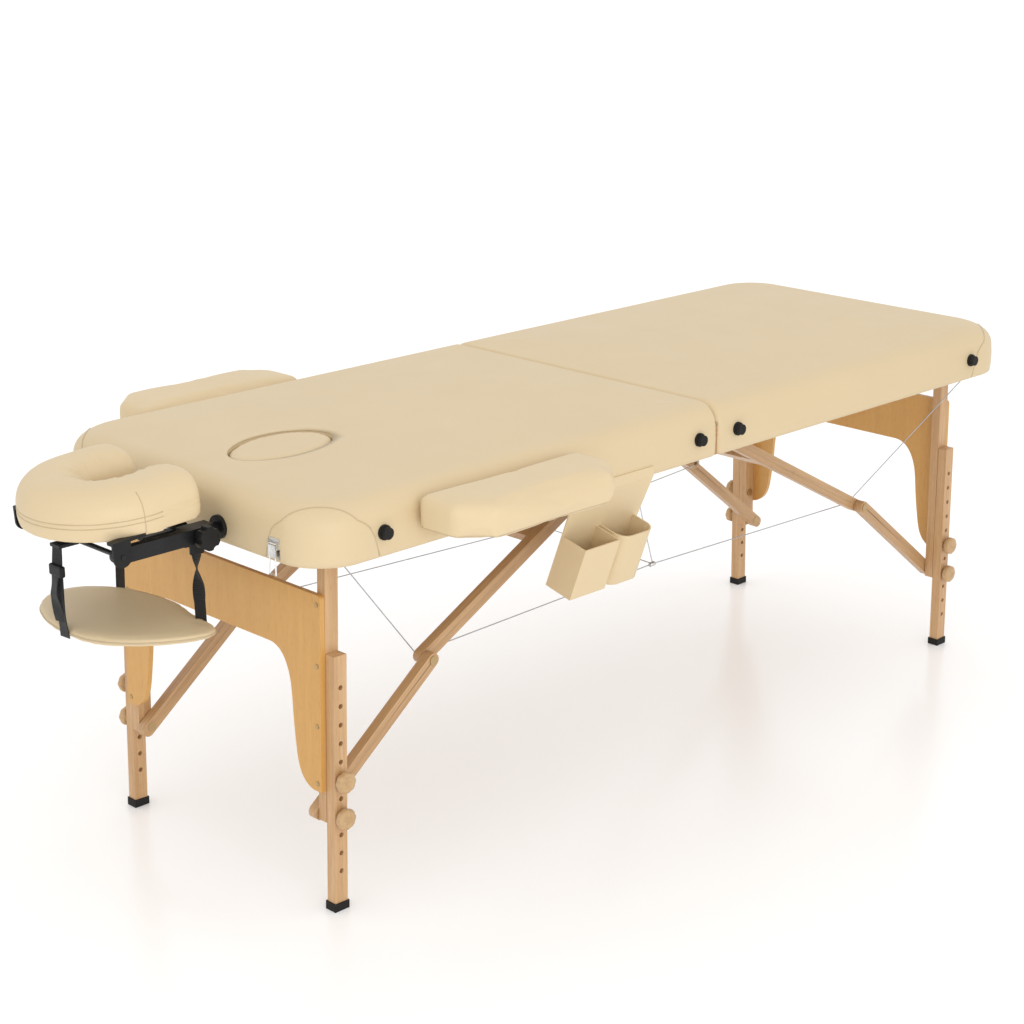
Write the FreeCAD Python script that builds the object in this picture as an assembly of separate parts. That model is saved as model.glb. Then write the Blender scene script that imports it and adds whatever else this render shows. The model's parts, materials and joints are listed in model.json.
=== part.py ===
import FreeCAD
import Part
import math
import os

# Portable massage table, millimetres, +Z up from the floor.
# Working frame: X runs along the table with the head end at -X, Y runs across it,
# and X = 0 is the centre hinge. Everything is moved by -ROW_ORIGIN_X on export,
# so that the origin is the bottom centre of the whole object's box.

os.makedirs("parts", exist_ok=True)
V = FreeCAD.Vector
ACROSS = V(0, 1, 0)

ROW_ORIGIN_X = -127.92

# table top
HALF_LENGTH = 910.0
HALF_WIDTH = 340.0
UNDERSIDE = 597.0
RAIL_TOP = 649.0
DECK_TOP = 654.0
TABLE_TOP = 692.0
CORNER_RADIUS = 80.0
EDGE_ROUND = 33.0
SPLIT_ROUND = 9.0
SPLIT_GAP = 0.75
COVER_THICK = 3.5
RAIL_THICK = 19.0

# centre hinge
HINGE_AXIS_Z = 594.4
KNUCKLE_RADIUS = 2.4
KNUCKLE_PITCH = 40.0
KNUCKLES = 15
LEAF_WIDTH = 20.0
LEAF_THICK = 1.5

# legs, given for the foot end and mirrored for the head end
LEG_PIVOT = V(815, 0, 622)
SPLAY_DEG = 1.4
LEG_HALF = 13.0
LEG_Y = (242.0, 260.0)
LEG_REACH = 474.0
EXTENSION_Y = (260.5, 280.5)
EXTENSION_TOP = 191.0
HOLE_PITCH = 31.0
HOLE_COUNT = 11
UPPER_CLAMP = 399.0
LOWER_CLAMP = 461.0
STEPS_UP = 5
HOLE_RADIUS = 4.2
CLAMP_RADIUS = 4.0
GROOVE_DEPTH = 14.0
FOOT_WALL = 2.0
FOOT_HEIGHT = 14.0
FOOT_FLOOR = 3.0

# end panel
PANEL_THICK = 9.0
PANEL_HALF = 259.0
PANEL_TOP = 96.0
PANEL_ARCH = 200.0
PANEL_TIP = 421.0

# braces
STRUT_PIVOT = V(80, 0, 618)
UPPER_STRUT_Y = (203.0, 221.0)
LOWER_STRUT_Y = (222.0, 240.0)
STRUT_HALF = 12.0
STRUT_SLACK = 3.0
STRUT_TAIL = 8.0
CROSSBAR_AT = 262.0
CROSSBAR_WIDTH = 40.0
CROSSBAR_THICK = 17.0

# cables
CABLE_RADIUS = 1.0
CABLE_Y = 197.5
NEAR_NODE = V(0, -195, 360)
FAR_NODE = V(0, 95, 367)
STAY_TOP_X = 32.0
STAY_TOP_Y = 150.0

# face cradle
POST_Y = 110.0
POST_Z = 621.0
POST_RADIUS = 8.0
SOCKET_RADIUS = 12.0
SOCKET_DEPTH = 74.0
CRADLE_PIVOT = V(-1104, 0, 622)
CRADLE_TILT_DEG = 4.0
CRADLE_CENTRE_X = -1030.0
CRADLE_TIP_X = -940.0
CRADLE_RADIUS = 138.0
CRADLE_SLOT = 38.0
PLATE_Z = (643.0, 648.0)
CRADLE_PAD_Z = (648.3, 713.0)

# arm shelf under the cradle
SHELF_CENTRE = V(-1033, -5, 0)
SHELF_HALF_X = 98.0
SHELF_HALF_Y = 162.0
SHELF_Z = (471.0, 484.0)
STRAP_HALF = 10.0
STRAP_THICK = 1.6
STRAP_HOOK_Z = 614.0
INNER_STRAP_X = -951.0
INNER_STRAP_Y = 101.0

# face hole and its plug
FACE_CENTRE_X = -727.0
FACE_CENTRE_Y = -35.0
FACE_HALF_X = 96.0
FACE_HALF_Y = 64.0

# armrests
ARM_X = (-722.0, -366.0)
ARM_Y = (345.0, 478.0)
ARM_Z = (625.0, 685.0)
ARM_CHAMFER = 50.0
ARM_POSTS_X = (-690.0, -470.0)
ARM_POST_Z = 638.0
ARM_POST_RADIUS = 6.0

# bottle holder
HOLDER_X = (-367.0, -172.0)
POCKETS_X = (-367.0, -283.0, -276.0, -192.0)
HOLDER_LEAN_DEG = 14.0
HOLDER_SKEW_DEG = 9.0
HOLDER_WALL = 2.5
HOLDER_DEEP = 57.0
POCKET_TOP = 530.0
POCKET_LOW = 440.0


def block(x0, x1, y0, y1, z0, z1):
    return Part.makeBox(x1 - x0, y1 - y0, z1 - z0, V(x0, y0, z0))


def rod(start, end, radius):
    return Part.makeCylinder(radius, (end - start).Length, start, end - start)


def across_rod(point, y0, y1, radius):
    return rod(V(point.x, y0, point.z), V(point.x, y1, point.z), radius)


def extruded(points, along):
    return Part.Face(Part.makePolygon(points + points[:1])).extrude(along)


def mirrored_y(shape):
    return shape.mirror(V(0, 0, 0), V(0, 1, 0))


def mirrored_x(shape):
    return shape.mirror(V(0, 0, 0), V(1, 0, 0))


def both_sides(shapes):
    return shapes + [mirrored_y(shape) for shape in shapes]


def fused(shapes):
    whole = shapes[0]
    for shape in shapes[1:]:
        whole = whole.fuse(shape)
    return whole.removeSplitter()


# ---- table top -------------------------------------------------------------


def half_plan(inset, x0, corner, z):
    x1 = HALF_LENGTH - inset
    y1 = HALF_WIDTH - inset
    turn = corner * (1 - math.sqrt(0.5))
    edges = [
        Part.makeLine(V(x0, -y1, z), V(x1 - corner, -y1, z)),
        Part.Arc(V(x1 - corner, -y1, z), V(x1 - turn, -y1 + turn, z), V(x1, -y1 + corner, z)).toShape(),
        Part.makeLine(V(x1, -y1 + corner, z), V(x1, y1 - corner, z)),
        Part.Arc(V(x1, y1 - corner, z), V(x1 - turn, y1 - turn, z), V(x1 - corner, y1, z)).toShape(),
        Part.makeLine(V(x1 - corner, y1, z), V(x0, y1, z)),
        Part.makeLine(V(x0, y1, z), V(x0, -y1, z)),
    ]
    return Part.Face(Part.Wire(edges))


def half_slab(inset, x0, z0, z1):
    return half_plan(inset, x0, CORNER_RADIUS - inset, z0).extrude(V(0, 0, z1 - z0))


def frame_rails():
    """Two side rails, a rounded end rail and a centre rail."""
    outer = half_slab(COVER_THICK, SPLIT_GAP, UNDERSIDE, RAIL_TOP)
    inner = half_slab(COVER_THICK + RAIL_THICK, SPLIT_GAP + RAIL_THICK, UNDERSIDE, RAIL_TOP)
    ring = outer.cut(inner)
    inside_x = SPLIT_GAP + RAIL_THICK
    bend_x = HALF_LENGTH - CORNER_RADIUS
    centre_rail = ring.common(block(SPLIT_GAP, inside_x, -HALF_WIDTH, HALF_WIDTH, UNDERSIDE, RAIL_TOP))
    side_rail = ring.common(block(inside_x, bend_x, 0, HALF_WIDTH, UNDERSIDE, RAIL_TOP))
    end_rail = ring.common(block(bend_x, HALF_LENGTH, -HALF_WIDTH, HALF_WIDTH, UNDERSIDE, RAIL_TOP))
    return [centre_rail, side_rail, mirrored_y(side_rail), end_rail]


def frame_blocks():
    """Leg blocks on the side rails and strut blocks behind the centre rail, bored for their bolts."""
    rail_face = HALF_WIDTH - COVER_THICK - RAIL_THICK
    leg_block = block(LEG_PIVOT.x - 28, LEG_PIVOT.x + 28, LEG_Y[1] + 2, rail_face, 600, RAIL_TOP)
    leg_block = leg_block.cut(across_rod(LEG_PIVOT, 250, 296, 5))
    strut_block = block(SPLIT_GAP + RAIL_THICK, STRUT_PIVOT.x + 30, 222, 256, 603, RAIL_TOP)
    strut_block = strut_block.cut(across_rod(STRUT_PIVOT, 200, 250, 4))
    return both_sides([leg_block, strut_block])


def deck():
    return half_slab(COVER_THICK, SPLIT_GAP, RAIL_TOP, DECK_TOP)


def cushion():
    """The padded top of one half, round over its outer edges and a little over the split."""
    slab = half_slab(0, -CORNER_RADIUS, DECK_TOP, TABLE_TOP)
    rim = [e for e in slab.Edges if e.BoundBox.ZMin > TABLE_TOP - 0.01 and e.BoundBox.XMax > 0]
    slab = slab.makeFillet(EDGE_ROUND, rim)
    slab = slab.cut(block(-2 * CORNER_RADIUS, SPLIT_GAP, -400, 400, 600, 700))
    face_x = SPLIT_GAP + 0.01
    lip = [e for e in slab.Edges if e.BoundBox.XMax < face_x and e.BoundBox.ZMax > DECK_TOP + 1]
    return slab.makeFillet(SPLIT_ROUND, lip)


def cover():
    """The leather skirt over the rails, open at the split."""
    outer = half_slab(0, SPLIT_GAP, UNDERSIDE, DECK_TOP)
    inner = half_slab(COVER_THICK, -20, UNDERSIDE, DECK_TOP)
    return outer.cut(inner)


def bumper(x):
    """A stepped rubber bumper on the near side."""
    foot = rod(V(x, -HALF_WIDTH, 635), V(x, -HALF_WIDTH - 5, 635), 12)
    cap = rod(V(x, -HALF_WIDTH - 5, 635), V(x, -HALF_WIDTH - 13, 635), 9.5)
    return fused([foot, cap])


def hinge_leaf(first, pin):
    """One leaf of the centre hinge with every second knuckle, and the pin when asked for."""
    start = -KNUCKLES * KNUCKLE_PITCH / 2
    end = -start
    axis = V(0, 0, HINGE_AXIS_Z)
    leaf = block(KNUCKLE_RADIUS + 0.6, LEAF_WIDTH, start, end, UNDERSIDE - LEAF_THICK, UNDERSIDE)
    pieces = [leaf]
    for index in range(first, KNUCKLES, 2):
        y0 = start + index * KNUCKLE_PITCH + 0.3
        y1 = y0 + KNUCKLE_PITCH - 0.6
        pieces.append(across_rod(axis, y0, y1, KNUCKLE_RADIUS))
        pieces.append(block(0, KNUCKLE_RADIUS + 0.6, y0, y1, UNDERSIDE - LEAF_THICK, UNDERSIDE - 0.3))
    leaf = fused(pieces)
    leaf = leaf.cut(across_rod(axis, start - 1, end + 1, 1.0 if pin else 1.3))
    if pin:
        return [leaf, across_rod(axis, start, end, 1.0)]
    return [leaf]


def frame_bolts():
    """The bolts that the legs and the upper struts turn on."""
    leg_bolt = fused([across_rod(LEG_PIVOT, LEG_Y[0] - 0.4, 296, 5), across_rod(LEG_PIVOT, 238, LEG_Y[0] - 0.4, 9)])
    strut_bolt = across_rod(STRUT_PIVOT, UPPER_STRUT_Y[0] - 0.4, 250, 4)
    strut_head = across_rod(STRUT_PIVOT, 199, UPPER_STRUT_Y[0] - 0.4, 8)
    return both_sides([leg_bolt, fused([strut_bolt, strut_head])])


def carry_handle():
    """A webbing grip that bows out from the far side."""
    y0 = HALF_WIDTH
    x0 = 190.0
    x1 = 350.0
    middle = (x0 + x1) / 2
    outer = Part.Arc(V(x0, y0, 612), V(middle, y0 + 34, 612), V(x1, y0, 612)).toShape()
    inner = Part.Arc(V(x0 + 9, y0, 612), V(middle, y0 + 30, 612), V(x1 - 9, y0, 612)).toShape()
    ends = [Part.makeLine(V(x0, y0, 612), V(x0 + 9, y0, 612)), Part.makeLine(V(x1 - 9, y0, 612), V(x1, y0, 612))]
    face = Part.Face(Part.Wire(Part.__sortEdges__([outer, inner] + ends)))
    return face.extrude(V(0, 0, 26))


# ---- legs ------------------------------------------------------------------


def along_leg(reach, y=0.0, out=0.0):
    """A point on the upright leg: down by reach, across by y, outward by out."""
    return V(LEG_PIVOT.x + out, y, LEG_PIVOT.z - reach)


def splayed(shape):
    turned = shape.copy()
    turned.rotate(LEG_PIVOT, ACROSS, -SPLAY_DEG)
    return turned


def splayed_point(reach):
    angle = math.radians(SPLAY_DEG)
    return LEG_PIVOT + V(reach * math.sin(angle), 0, -reach * math.cos(angle))


def leg_bar(reach0, reach1, y):
    x = LEG_PIVOT.x
    z = LEG_PIVOT.z
    return block(x - LEG_HALF, x + LEG_HALF, y[0], y[1], z - reach1, z - reach0)


def screw_points():
    return [along_leg(reach, PANEL_HALF - 9) for reach in (112.0, 212.0, 312.0, 408.0)]


def screw(point):
    face = LEG_HALF + PANEL_THICK
    shank = rod(point + V(face - 17, 0, 0), point + V(face, 0, 0), 1.5)
    head = rod(point + V(face, 0, 0), point + V(face + 1.2, 0, 0), 4)
    return fused([shank, head])


def upper_leg():
    bar = fused([leg_bar(0, LEG_REACH, LEG_Y), across_rod(LEG_PIVOT, LEG_Y[0], LEG_Y[1], LEG_HALF)])
    bar = bar.cut(across_rod(LEG_PIVOT, LEG_Y[0], LEG_Y[1], 5.3))
    for reach in (UPPER_CLAMP, LOWER_CLAMP):
        bar = bar.cut(across_rod(along_leg(reach), LEG_Y[0], LEG_Y[1], CLAMP_RADIUS))
    for point in screw_points():
        bar = bar.cut(rod(point, point + V(LEG_HALF, 0, 0), 1.5).fuse(rod(point - V(0, 0, 0), point + V(1, 0, 0), 1.5)))
    return splayed(bar)


def panel_side():
    """One side of the arched panel's outline, from the top corner round to the arch's middle."""
    z = LEG_PIVOT.z
    x = LEG_PIVOT.x + LEG_HALF
    w = PANEL_HALF
    corner = 8.0
    bend = corner * (1 - math.sqrt(0.5))
    tip = z - PANEL_TIP
    arch = z - PANEL_ARCH
    inner = [V(x, w - 26, tip + 2), V(x, w - 48, tip + 20), V(x, w - 60, tip + 60), V(x, w - 68, tip + 125),
             V(x, w - 77, arch - 40), V(x, w - 94, arch - 12), V(x, w - 125, arch)]
    curve = Part.BSplineCurve()
    curve.interpolate(inner)
    return [
        Part.makeLine(V(x, 0, z - PANEL_TOP), V(x, w - corner, z - PANEL_TOP)),
        Part.Arc(V(x, w - corner, z - PANEL_TOP), V(x, w - bend, z - PANEL_TOP - bend),
                 V(x, w, z - PANEL_TOP - corner)).toShape(),
        Part.makeLine(V(x, w, z - PANEL_TOP - corner), V(x, w, tip)),
        Part.makeLine(V(x, w, tip), V(x, w - 18, tip)),
        Part.makeLine(V(x, w - 18, tip), inner[0]),
        curve.toShape(),
        Part.makeLine(inner[-1], V(x, 0, arch)),
    ]


def end_panel():
    side = panel_side()
    outline = side + [mirrored_y(edge) for edge in side]
    face = Part.Face(Part.Wire(Part.__sortEdges__(outline)))
    panel = face.extrude(V(PANEL_THICK, 0, 0))
    for point in screw_points():
        bore = rod(point, point + V(60, 0, 0), 1.5)
        panel = panel.cut(bore).cut(mirrored_y(bore))
    return splayed(panel)


def clamp_bolts():
    """Bolts fixed in the leg; the lower one also carries the lower strut."""
    upper = fused([
        across_rod(along_leg(UPPER_CLAMP), LEG_Y[0], EXTENSION_Y[0] + 13, CLAMP_RADIUS),
        across_rod(along_leg(UPPER_CLAMP), LEG_Y[0] - 2, LEG_Y[0], 8),
    ])
    lower = fused([
        across_rod(along_leg(LOWER_CLAMP), LOWER_STRUT_Y[0] - 0.3, EXTENSION_Y[0] + 13, CLAMP_RADIUS),
        across_rod(along_leg(LOWER_CLAMP), LOWER_STRUT_Y[0] - 0.8, LOWER_STRUT_Y[0] - 0.3, 8),
    ])
    return [splayed(upper), splayed(lower)]


def leg_extension():
    """The sliding lower leg: a row of holes in its outer wall, a relief groove behind them."""
    bar = leg_bar(EXTENSION_TOP, LEG_PIVOT.z - FOOT_FLOOR - 2, EXTENSION_Y)
    first = UPPER_CLAMP - STEPS_UP * HOLE_PITCH
    last = first + (HOLE_COUNT - 1) * HOLE_PITCH
    groove_half = CLAMP_RADIUS + 0.6
    groove = block(LEG_PIVOT.x - groove_half, LEG_PIVOT.x + groove_half, EXTENSION_Y[0],
                   EXTENSION_Y[0] + GROOVE_DEPTH, LEG_PIVOT.z - last - 8, LEG_PIVOT.z - first + 8)
    bar = bar.cut(groove)
    for index in range(HOLE_COUNT):
        bar = bar.cut(across_rod(along_leg(first + index * HOLE_PITCH), EXTENSION_Y[0], EXTENSION_Y[1], HOLE_RADIUS))
    return splayed(bar)


def foot_cap():
    """A rubber cup on the extension, cut level with the floor."""
    x0 = LEG_PIVOT.x - LEG_HALF
    x1 = LEG_PIVOT.x + LEG_HALF
    top = FOOT_HEIGHT
    outer = block(x0 - FOOT_WALL, x1 + FOOT_WALL, EXTENSION_Y[0] - FOOT_WALL, EXTENSION_Y[1] + FOOT_WALL, -10, top)
    inner = block(x0, x1, EXTENSION_Y[0], EXTENSION_Y[1], FOOT_FLOOR + 2, top)
    cup = splayed(outer.cut(inner))
    return cup.common(block(0, 1000, 0, 400, 0, 100))


def clamp_knob(reach):
    """A knob with a scalloped rim, just clear of the extension's outer face."""
    face = EXTENSION_Y[1] + 0.3
    hub = across_rod(along_leg(reach), face, face + 5, 10)
    rim = across_rod(along_leg(reach), face + 5, face + 18, 17.5)
    for index in range(8):
        angle = math.radians(45 * index + 22.5)
        dent = along_leg(reach) + V(21.5 * math.cos(angle), 0, 21.5 * math.sin(angle))
        rim = rim.cut(across_rod(dent, face + 4, face + 19, 6))
    return splayed(fused([hub, rim]))


# ---- braces ----------------------------------------------------------------


def brace_layout():
    """Knee and strut lengths, so that both struts reach each other standing and folded flat."""
    foot_pin = splayed_point(LOWER_CLAMP)
    folded_pin = LEG_PIVOT - V(LOWER_CLAMP, 0, 0)
    span = (foot_pin - STRUT_PIVOT).Length
    fold = (folded_pin - STRUT_PIVOT).Length
    upper = (span + STRUT_SLACK + fold) / 2
    lower = (span + STRUT_SLACK - fold) / 2
    toward = (STRUT_PIVOT - foot_pin).normalize()
    along = (lower ** 2 - upper ** 2 + span ** 2) / (2 * span)
    rise = math.sqrt(lower ** 2 - along ** 2)
    knee = foot_pin + toward * along + V(toward.z, 0, -toward.x) * rise
    return foot_pin, knee


def bar_between(start, end, y):
    """A flat strut with round ends."""
    way = V(end.x - start.x, 0, end.z - start.z).normalize()
    side = V(-way.z, 0, way.x) * STRUT_HALF
    down = V(0, y[0], 0)
    corners = [start + side + down, end + side + down, end - side + down, start - side + down]
    body = extruded(corners, V(0, y[1] - y[0], 0))
    return fused([body, across_rod(start, y[0], y[1], STRUT_HALF), across_rod(end, y[0], y[1], STRUT_HALF)])


def lower_strut():
    foot_pin, knee = brace_layout()
    tail = foot_pin + (foot_pin - knee).normalize() * STRUT_TAIL
    strut = bar_between(tail, knee, LOWER_STRUT_Y)
    strut = strut.cut(across_rod(foot_pin, LOWER_STRUT_Y[0], LOWER_STRUT_Y[1], CLAMP_RADIUS + 0.3))
    return strut.cut(across_rod(knee, LOWER_STRUT_Y[0], LOWER_STRUT_Y[1], CLAMP_RADIUS))


def knee_bolt():
    """The knee's bolt, held in the lower strut, with a low head on the outside."""
    foot_pin, knee = brace_layout()
    shank = across_rod(knee, LOWER_STRUT_Y[0], LOWER_STRUT_Y[1], CLAMP_RADIUS)
    head = across_rod(knee, LOWER_STRUT_Y[1], LOWER_STRUT_Y[1] + 1.6, 8)
    return fused([shank, head])


def upper_strut():
    foot_pin, knee = brace_layout()
    strut = bar_between(STRUT_PIVOT, knee, UPPER_STRUT_Y)
    strut = strut.cut(across_rod(STRUT_PIVOT, UPPER_STRUT_Y[0], UPPER_STRUT_Y[1], CLAMP_RADIUS + 0.3))
    return strut.cut(across_rod(knee, UPPER_STRUT_Y[0], UPPER_STRUT_Y[1], CLAMP_RADIUS + 0.5))


def crossbar():
    """The flat bar that ties the two upper struts."""
    foot_pin, knee = brace_layout()
    way = V(knee.x - STRUT_PIVOT.x, 0, knee.z - STRUT_PIVOT.z).normalize()
    side = V(-way.z, 0, way.x) * (CROSSBAR_THICK / 2)
    centre = STRUT_PIVOT + way * CROSSBAR_AT - V(0, UPPER_STRUT_Y[0], 0)
    half = way * (CROSSBAR_WIDTH / 2)
    corners = [centre + half + side, centre + half - side, centre - half - side, centre - half + side]
    return extruded(corners, V(0, 2 * UPPER_STRUT_Y[0], 0))


def end_cables():
    """Corner cables from the frame to both knees, and side cables from the knees to the middle."""
    foot_pin, knee = brace_layout()
    cables = []
    for side, middle in ((-1, NEAR_NODE), (1, FAR_NODE)):
        hold = V(knee.x, side * CABLE_Y, knee.z)
        corner = V(838, side * 304, UNDERSIDE)
        cables.append(rod(corner, hold, CABLE_RADIUS))
        cables.append(rod(hold, middle + V(4, 0, 0), CABLE_RADIUS))
    return cables


def centre_cables():
    """The tie between the two middle knots and their stays up to the centre rail."""
    start = V(-3, 0, 0)
    tie = rod(NEAR_NODE + start, FAR_NODE + start, CABLE_RADIUS)
    near_stay = rod(NEAR_NODE + start, V(-STAY_TOP_X, -STAY_TOP_Y, UNDERSIDE), CABLE_RADIUS)
    far_stay = rod(FAR_NODE + start, V(-STAY_TOP_X, STAY_TOP_Y, UNDERSIDE), CABLE_RADIUS)
    knots = [rod(node + V(-6, 0, 0), node + V(3, 0, 0), 4) for node in (NEAR_NODE, FAR_NODE)]
    return fused([tie, near_stay, far_stay] + knots)


# ---- head end --------------------------------------------------------------


def oval(half_x, half_y, z0, z1):
    """An oval prism round the face hole's centre, its long side along the table."""
    curve = Part.Ellipse(V(FACE_CENTRE_X, FACE_CENTRE_Y, z0), half_x, half_y)
    return Part.Face(Part.Wire([curve.toShape()])).extrude(V(0, 0, z1 - z0))


def face_plug():
    plug = oval(FACE_HALF_X - 0.8, FACE_HALF_Y - 0.8, DECK_TOP + 0.3, TABLE_TOP)
    rim = [e for e in plug.Edges if e.BoundBox.ZMin > TABLE_TOP - 0.01]
    return plug.makeFillet(4, rim)


def cradle_socket():
    """A plastic sleeve in the head rail with a round collar outside."""
    x = -HALF_LENGTH
    sleeve = rod(V(x, POST_Y, POST_Z), V(x + SOCKET_DEPTH, POST_Y, POST_Z), SOCKET_RADIUS)
    collar = rod(V(x - 7, POST_Y, POST_Z), V(x, POST_Y, POST_Z), 19)
    bore = rod(V(x - 8, POST_Y, POST_Z), V(x + SOCKET_DEPTH, POST_Y, POST_Z), POST_RADIUS + 0.4)
    return fused([sleeve, collar]).cut(bore)


def socket_bore(y):
    return rod(V(-HALF_LENGTH - 1, y, POST_Z), V(-HALF_LENGTH + 40, y, POST_Z), SOCKET_RADIUS)


def cradle_arms():
    """Two posts with side arms, tied by the cross rod that the cradle locks on."""
    pieces = []
    for side in (-1, 1):
        y = side * POST_Y
        pieces.append(rod(V(-HALF_LENGTH + SOCKET_DEPTH - 6, y, POST_Z), V(-960, y, POST_Z), POST_RADIUS))
        pieces.append(block(-985, -932, y - 11, y + 11, 606, 634))
        outer = side * 128
        inner = side * 114
        pieces.append(block(-1104, -940, min(outer, inner), max(outer, inner), 610, 634))
        pieces.append(across_rod(CRADLE_PIVOT, min(outer, inner), max(outer, inner), 12))
    pieces.append(across_rod(V(-958, 0, POST_Z), -POST_Y, POST_Y, 7))
    pieces.append(across_rod(CRADLE_PIVOT, -133.5, 133.5, 4))
    pieces.append(block(-1136, -1100, -12, 12, STRAP_HOOK_Z, STRAP_HOOK_Z + 5))
    return fused(pieces)


def tilted(shape):
    turned = shape.copy()
    turned.rotate(CRADLE_PIVOT, ACROSS, -CRADLE_TILT_DEG)
    return turned


def horseshoe(grow, z0, z1):
    """The cradle's plan: round outside, with a slot that opens toward the table."""
    radius = CRADLE_RADIUS + grow
    slot = CRADLE_SLOT - grow
    x = CRADLE_CENTRE_X
    tip = CRADLE_TIP_X + grow
    disc = rod(V(x, 0, z0), V(x, 0, z1), radius).common(block(x - radius, x, -radius, radius, z0, z1))
    shank = block(x, tip, -radius, radius, z0, z1)
    whole = disc.fuse(shank).removeSplitter()
    gap = rod(V(x - 20, 0, z0), V(x - 20, 0, z1), slot).fuse(block(x - 20, tip + 1, -slot, slot, z0, z1))
    whole = whole.cut(gap.removeSplitter())
    posts = [e for e in whole.Edges if e.BoundBox.ZLength > 1 and e.BoundBox.XMin > tip - 0.01]
    return whole.makeFillet(28, posts)


def cradle_cushion():
    pad = horseshoe(0, CRADLE_PAD_Z[0], CRADLE_PAD_Z[1])
    level = [e for e in pad.Edges if e.BoundBox.ZLength < 0.01]
    return tilted(pad.makeFillet(20, level))


def cradle_platform():
    """A thin plate with two ears that turn on the pivot rod."""
    plate = horseshoe(-8, PLATE_Z[0], PLATE_Z[1])
    pieces = [plate]
    for side in (-1, 1):
        y0 = min(side * 128.6, side * 132.6)
        ear = block(-1120, -1088, y0, y0 + 4, 622, PLATE_Z[1])
        ear = fused([ear, across_rod(CRADLE_PIVOT, y0, y0 + 4, 16)])
        rail = block(-1120, -1060, min(side * 118, side * 132.6), max(side * 118, side * 132.6), 643, PLATE_Z[1])
        pieces.append(rail)
        pieces.append(ear.cut(across_rod(CRADLE_PIVOT, y0 - 1, y0 + 5, 4.3)))
    return tilted(fused(pieces))


def cradle_lock_knob():
    hub = across_rod(V(-958, 0, POST_Z), -134, -128.4, 9)
    rim = across_rod(V(-958, 0, POST_Z), -150, -134, 19)
    for index in range(6):
        angle = math.radians(60 * index)
        dent = V(-958 + 23 * math.cos(angle), 0, POST_Z + 23 * math.sin(angle))
        rim = rim.cut(across_rod(dent, -151, -133, 7))
    return fused([hub, rim])


def cradle_cam_lever():
    """A cam on the cross rod with a blade that points back under the plate."""
    cam = across_rod(V(-958, 0, POST_Z), -78, -62, 12)
    blade = block(-1030, -958, -77, -63, 616, 622)
    lever = fused([cam, blade])
    return lever.cut(across_rod(V(-958, 0, POST_Z), -79, -61, 7.3))


def arm_shelf():
    curve = Part.Ellipse(V(0, 0, 0), SHELF_HALF_Y, SHELF_HALF_X)
    shelf = Part.Face(Part.Wire([curve.toShape()])).extrude(V(0, 0, SHELF_Z[1] - SHELF_Z[0]))
    shelf.rotate(V(0, 0, 0), V(0, 0, 1), 90)
    shelf.translate(SHELF_CENTRE + V(0, 0, SHELF_Z[0]))
    return shelf


def shelf_edge_y(x, side):
    """Where the shelf's oval edge lies at a given X."""
    reach = (x - SHELF_CENTRE.x) / SHELF_HALF_X
    return SHELF_CENTRE.y + side * SHELF_HALF_Y * math.sqrt(1 - reach * reach)


def front_strap():
    """The strap from the hook on the pivot rod to the shelf's outer edge, with its buckle."""
    x = SHELF_CENTRE.x - SHELF_HALF_X - 1.6
    low = SHELF_Z[0] - 2
    strap = block(x - STRAP_THICK, x, -STRAP_HALF, STRAP_HALF, low, STRAP_HOOK_Z)
    buckle = block(x - STRAP_THICK - 3, x + 2, -STRAP_HALF - 3, STRAP_HALF + 3, 574, 596)
    return fused([strap, buckle])


def inner_strap(side):
    """A strap from under a post to the shelf's edge."""
    x0 = INNER_STRAP_X - STRAP_HALF
    low = SHELF_Z[0] - 2
    top_y = side * INNER_STRAP_Y
    low_y = shelf_edge_y(x0, side) + side * 1.5
    thick = side * STRAP_THICK
    corners = [V(x0, top_y, POST_Z - 15), V(x0, top_y + thick, POST_Z - 15), V(x0, low_y + thick, low), V(x0, low_y, low)]
    return extruded(corners, V(2 * STRAP_HALF, 0, 0))


def shelf_straps():
    return [front_strap(), inner_strap(-1), inner_strap(1)]


# ---- fittings --------------------------------------------------------------


def armrest_pad():
    x0, x1 = ARM_X
    y0, y1 = ARM_Y
    c = ARM_CHAMFER
    corners = [V(x0, y0, ARM_Z[0]), V(x0, y1 - c, ARM_Z[0]), V(x0 + c, y1, ARM_Z[0]), V(x1 - c, y1, ARM_Z[0]),
               V(x1, y1 - c, ARM_Z[0]), V(x1, y0, ARM_Z[0])]
    pad = extruded(corners, V(0, 0, ARM_Z[1] - ARM_Z[0]))
    posts = [e for e in pad.Edges if e.BoundBox.ZLength > 1]
    pad = pad.makeFillet(14, posts)
    top = [e for e in pad.Edges if e.BoundBox.ZMin > ARM_Z[1] - 0.01]
    pad = pad.makeFillet(16, top)
    for x in ARM_POSTS_X:
        pad = pad.cut(armrest_post(x))
    return pad


def armrest_post(x):
    return rod(V(x, 286, ARM_POST_Z), V(x, ARM_Y[0] + 70, ARM_POST_Z), ARM_POST_RADIUS)


def armrest_bore(x):
    return rod(V(x, 310, ARM_POST_Z), V(x, 345, ARM_POST_Z), ARM_POST_RADIUS + 0.4)


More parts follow.
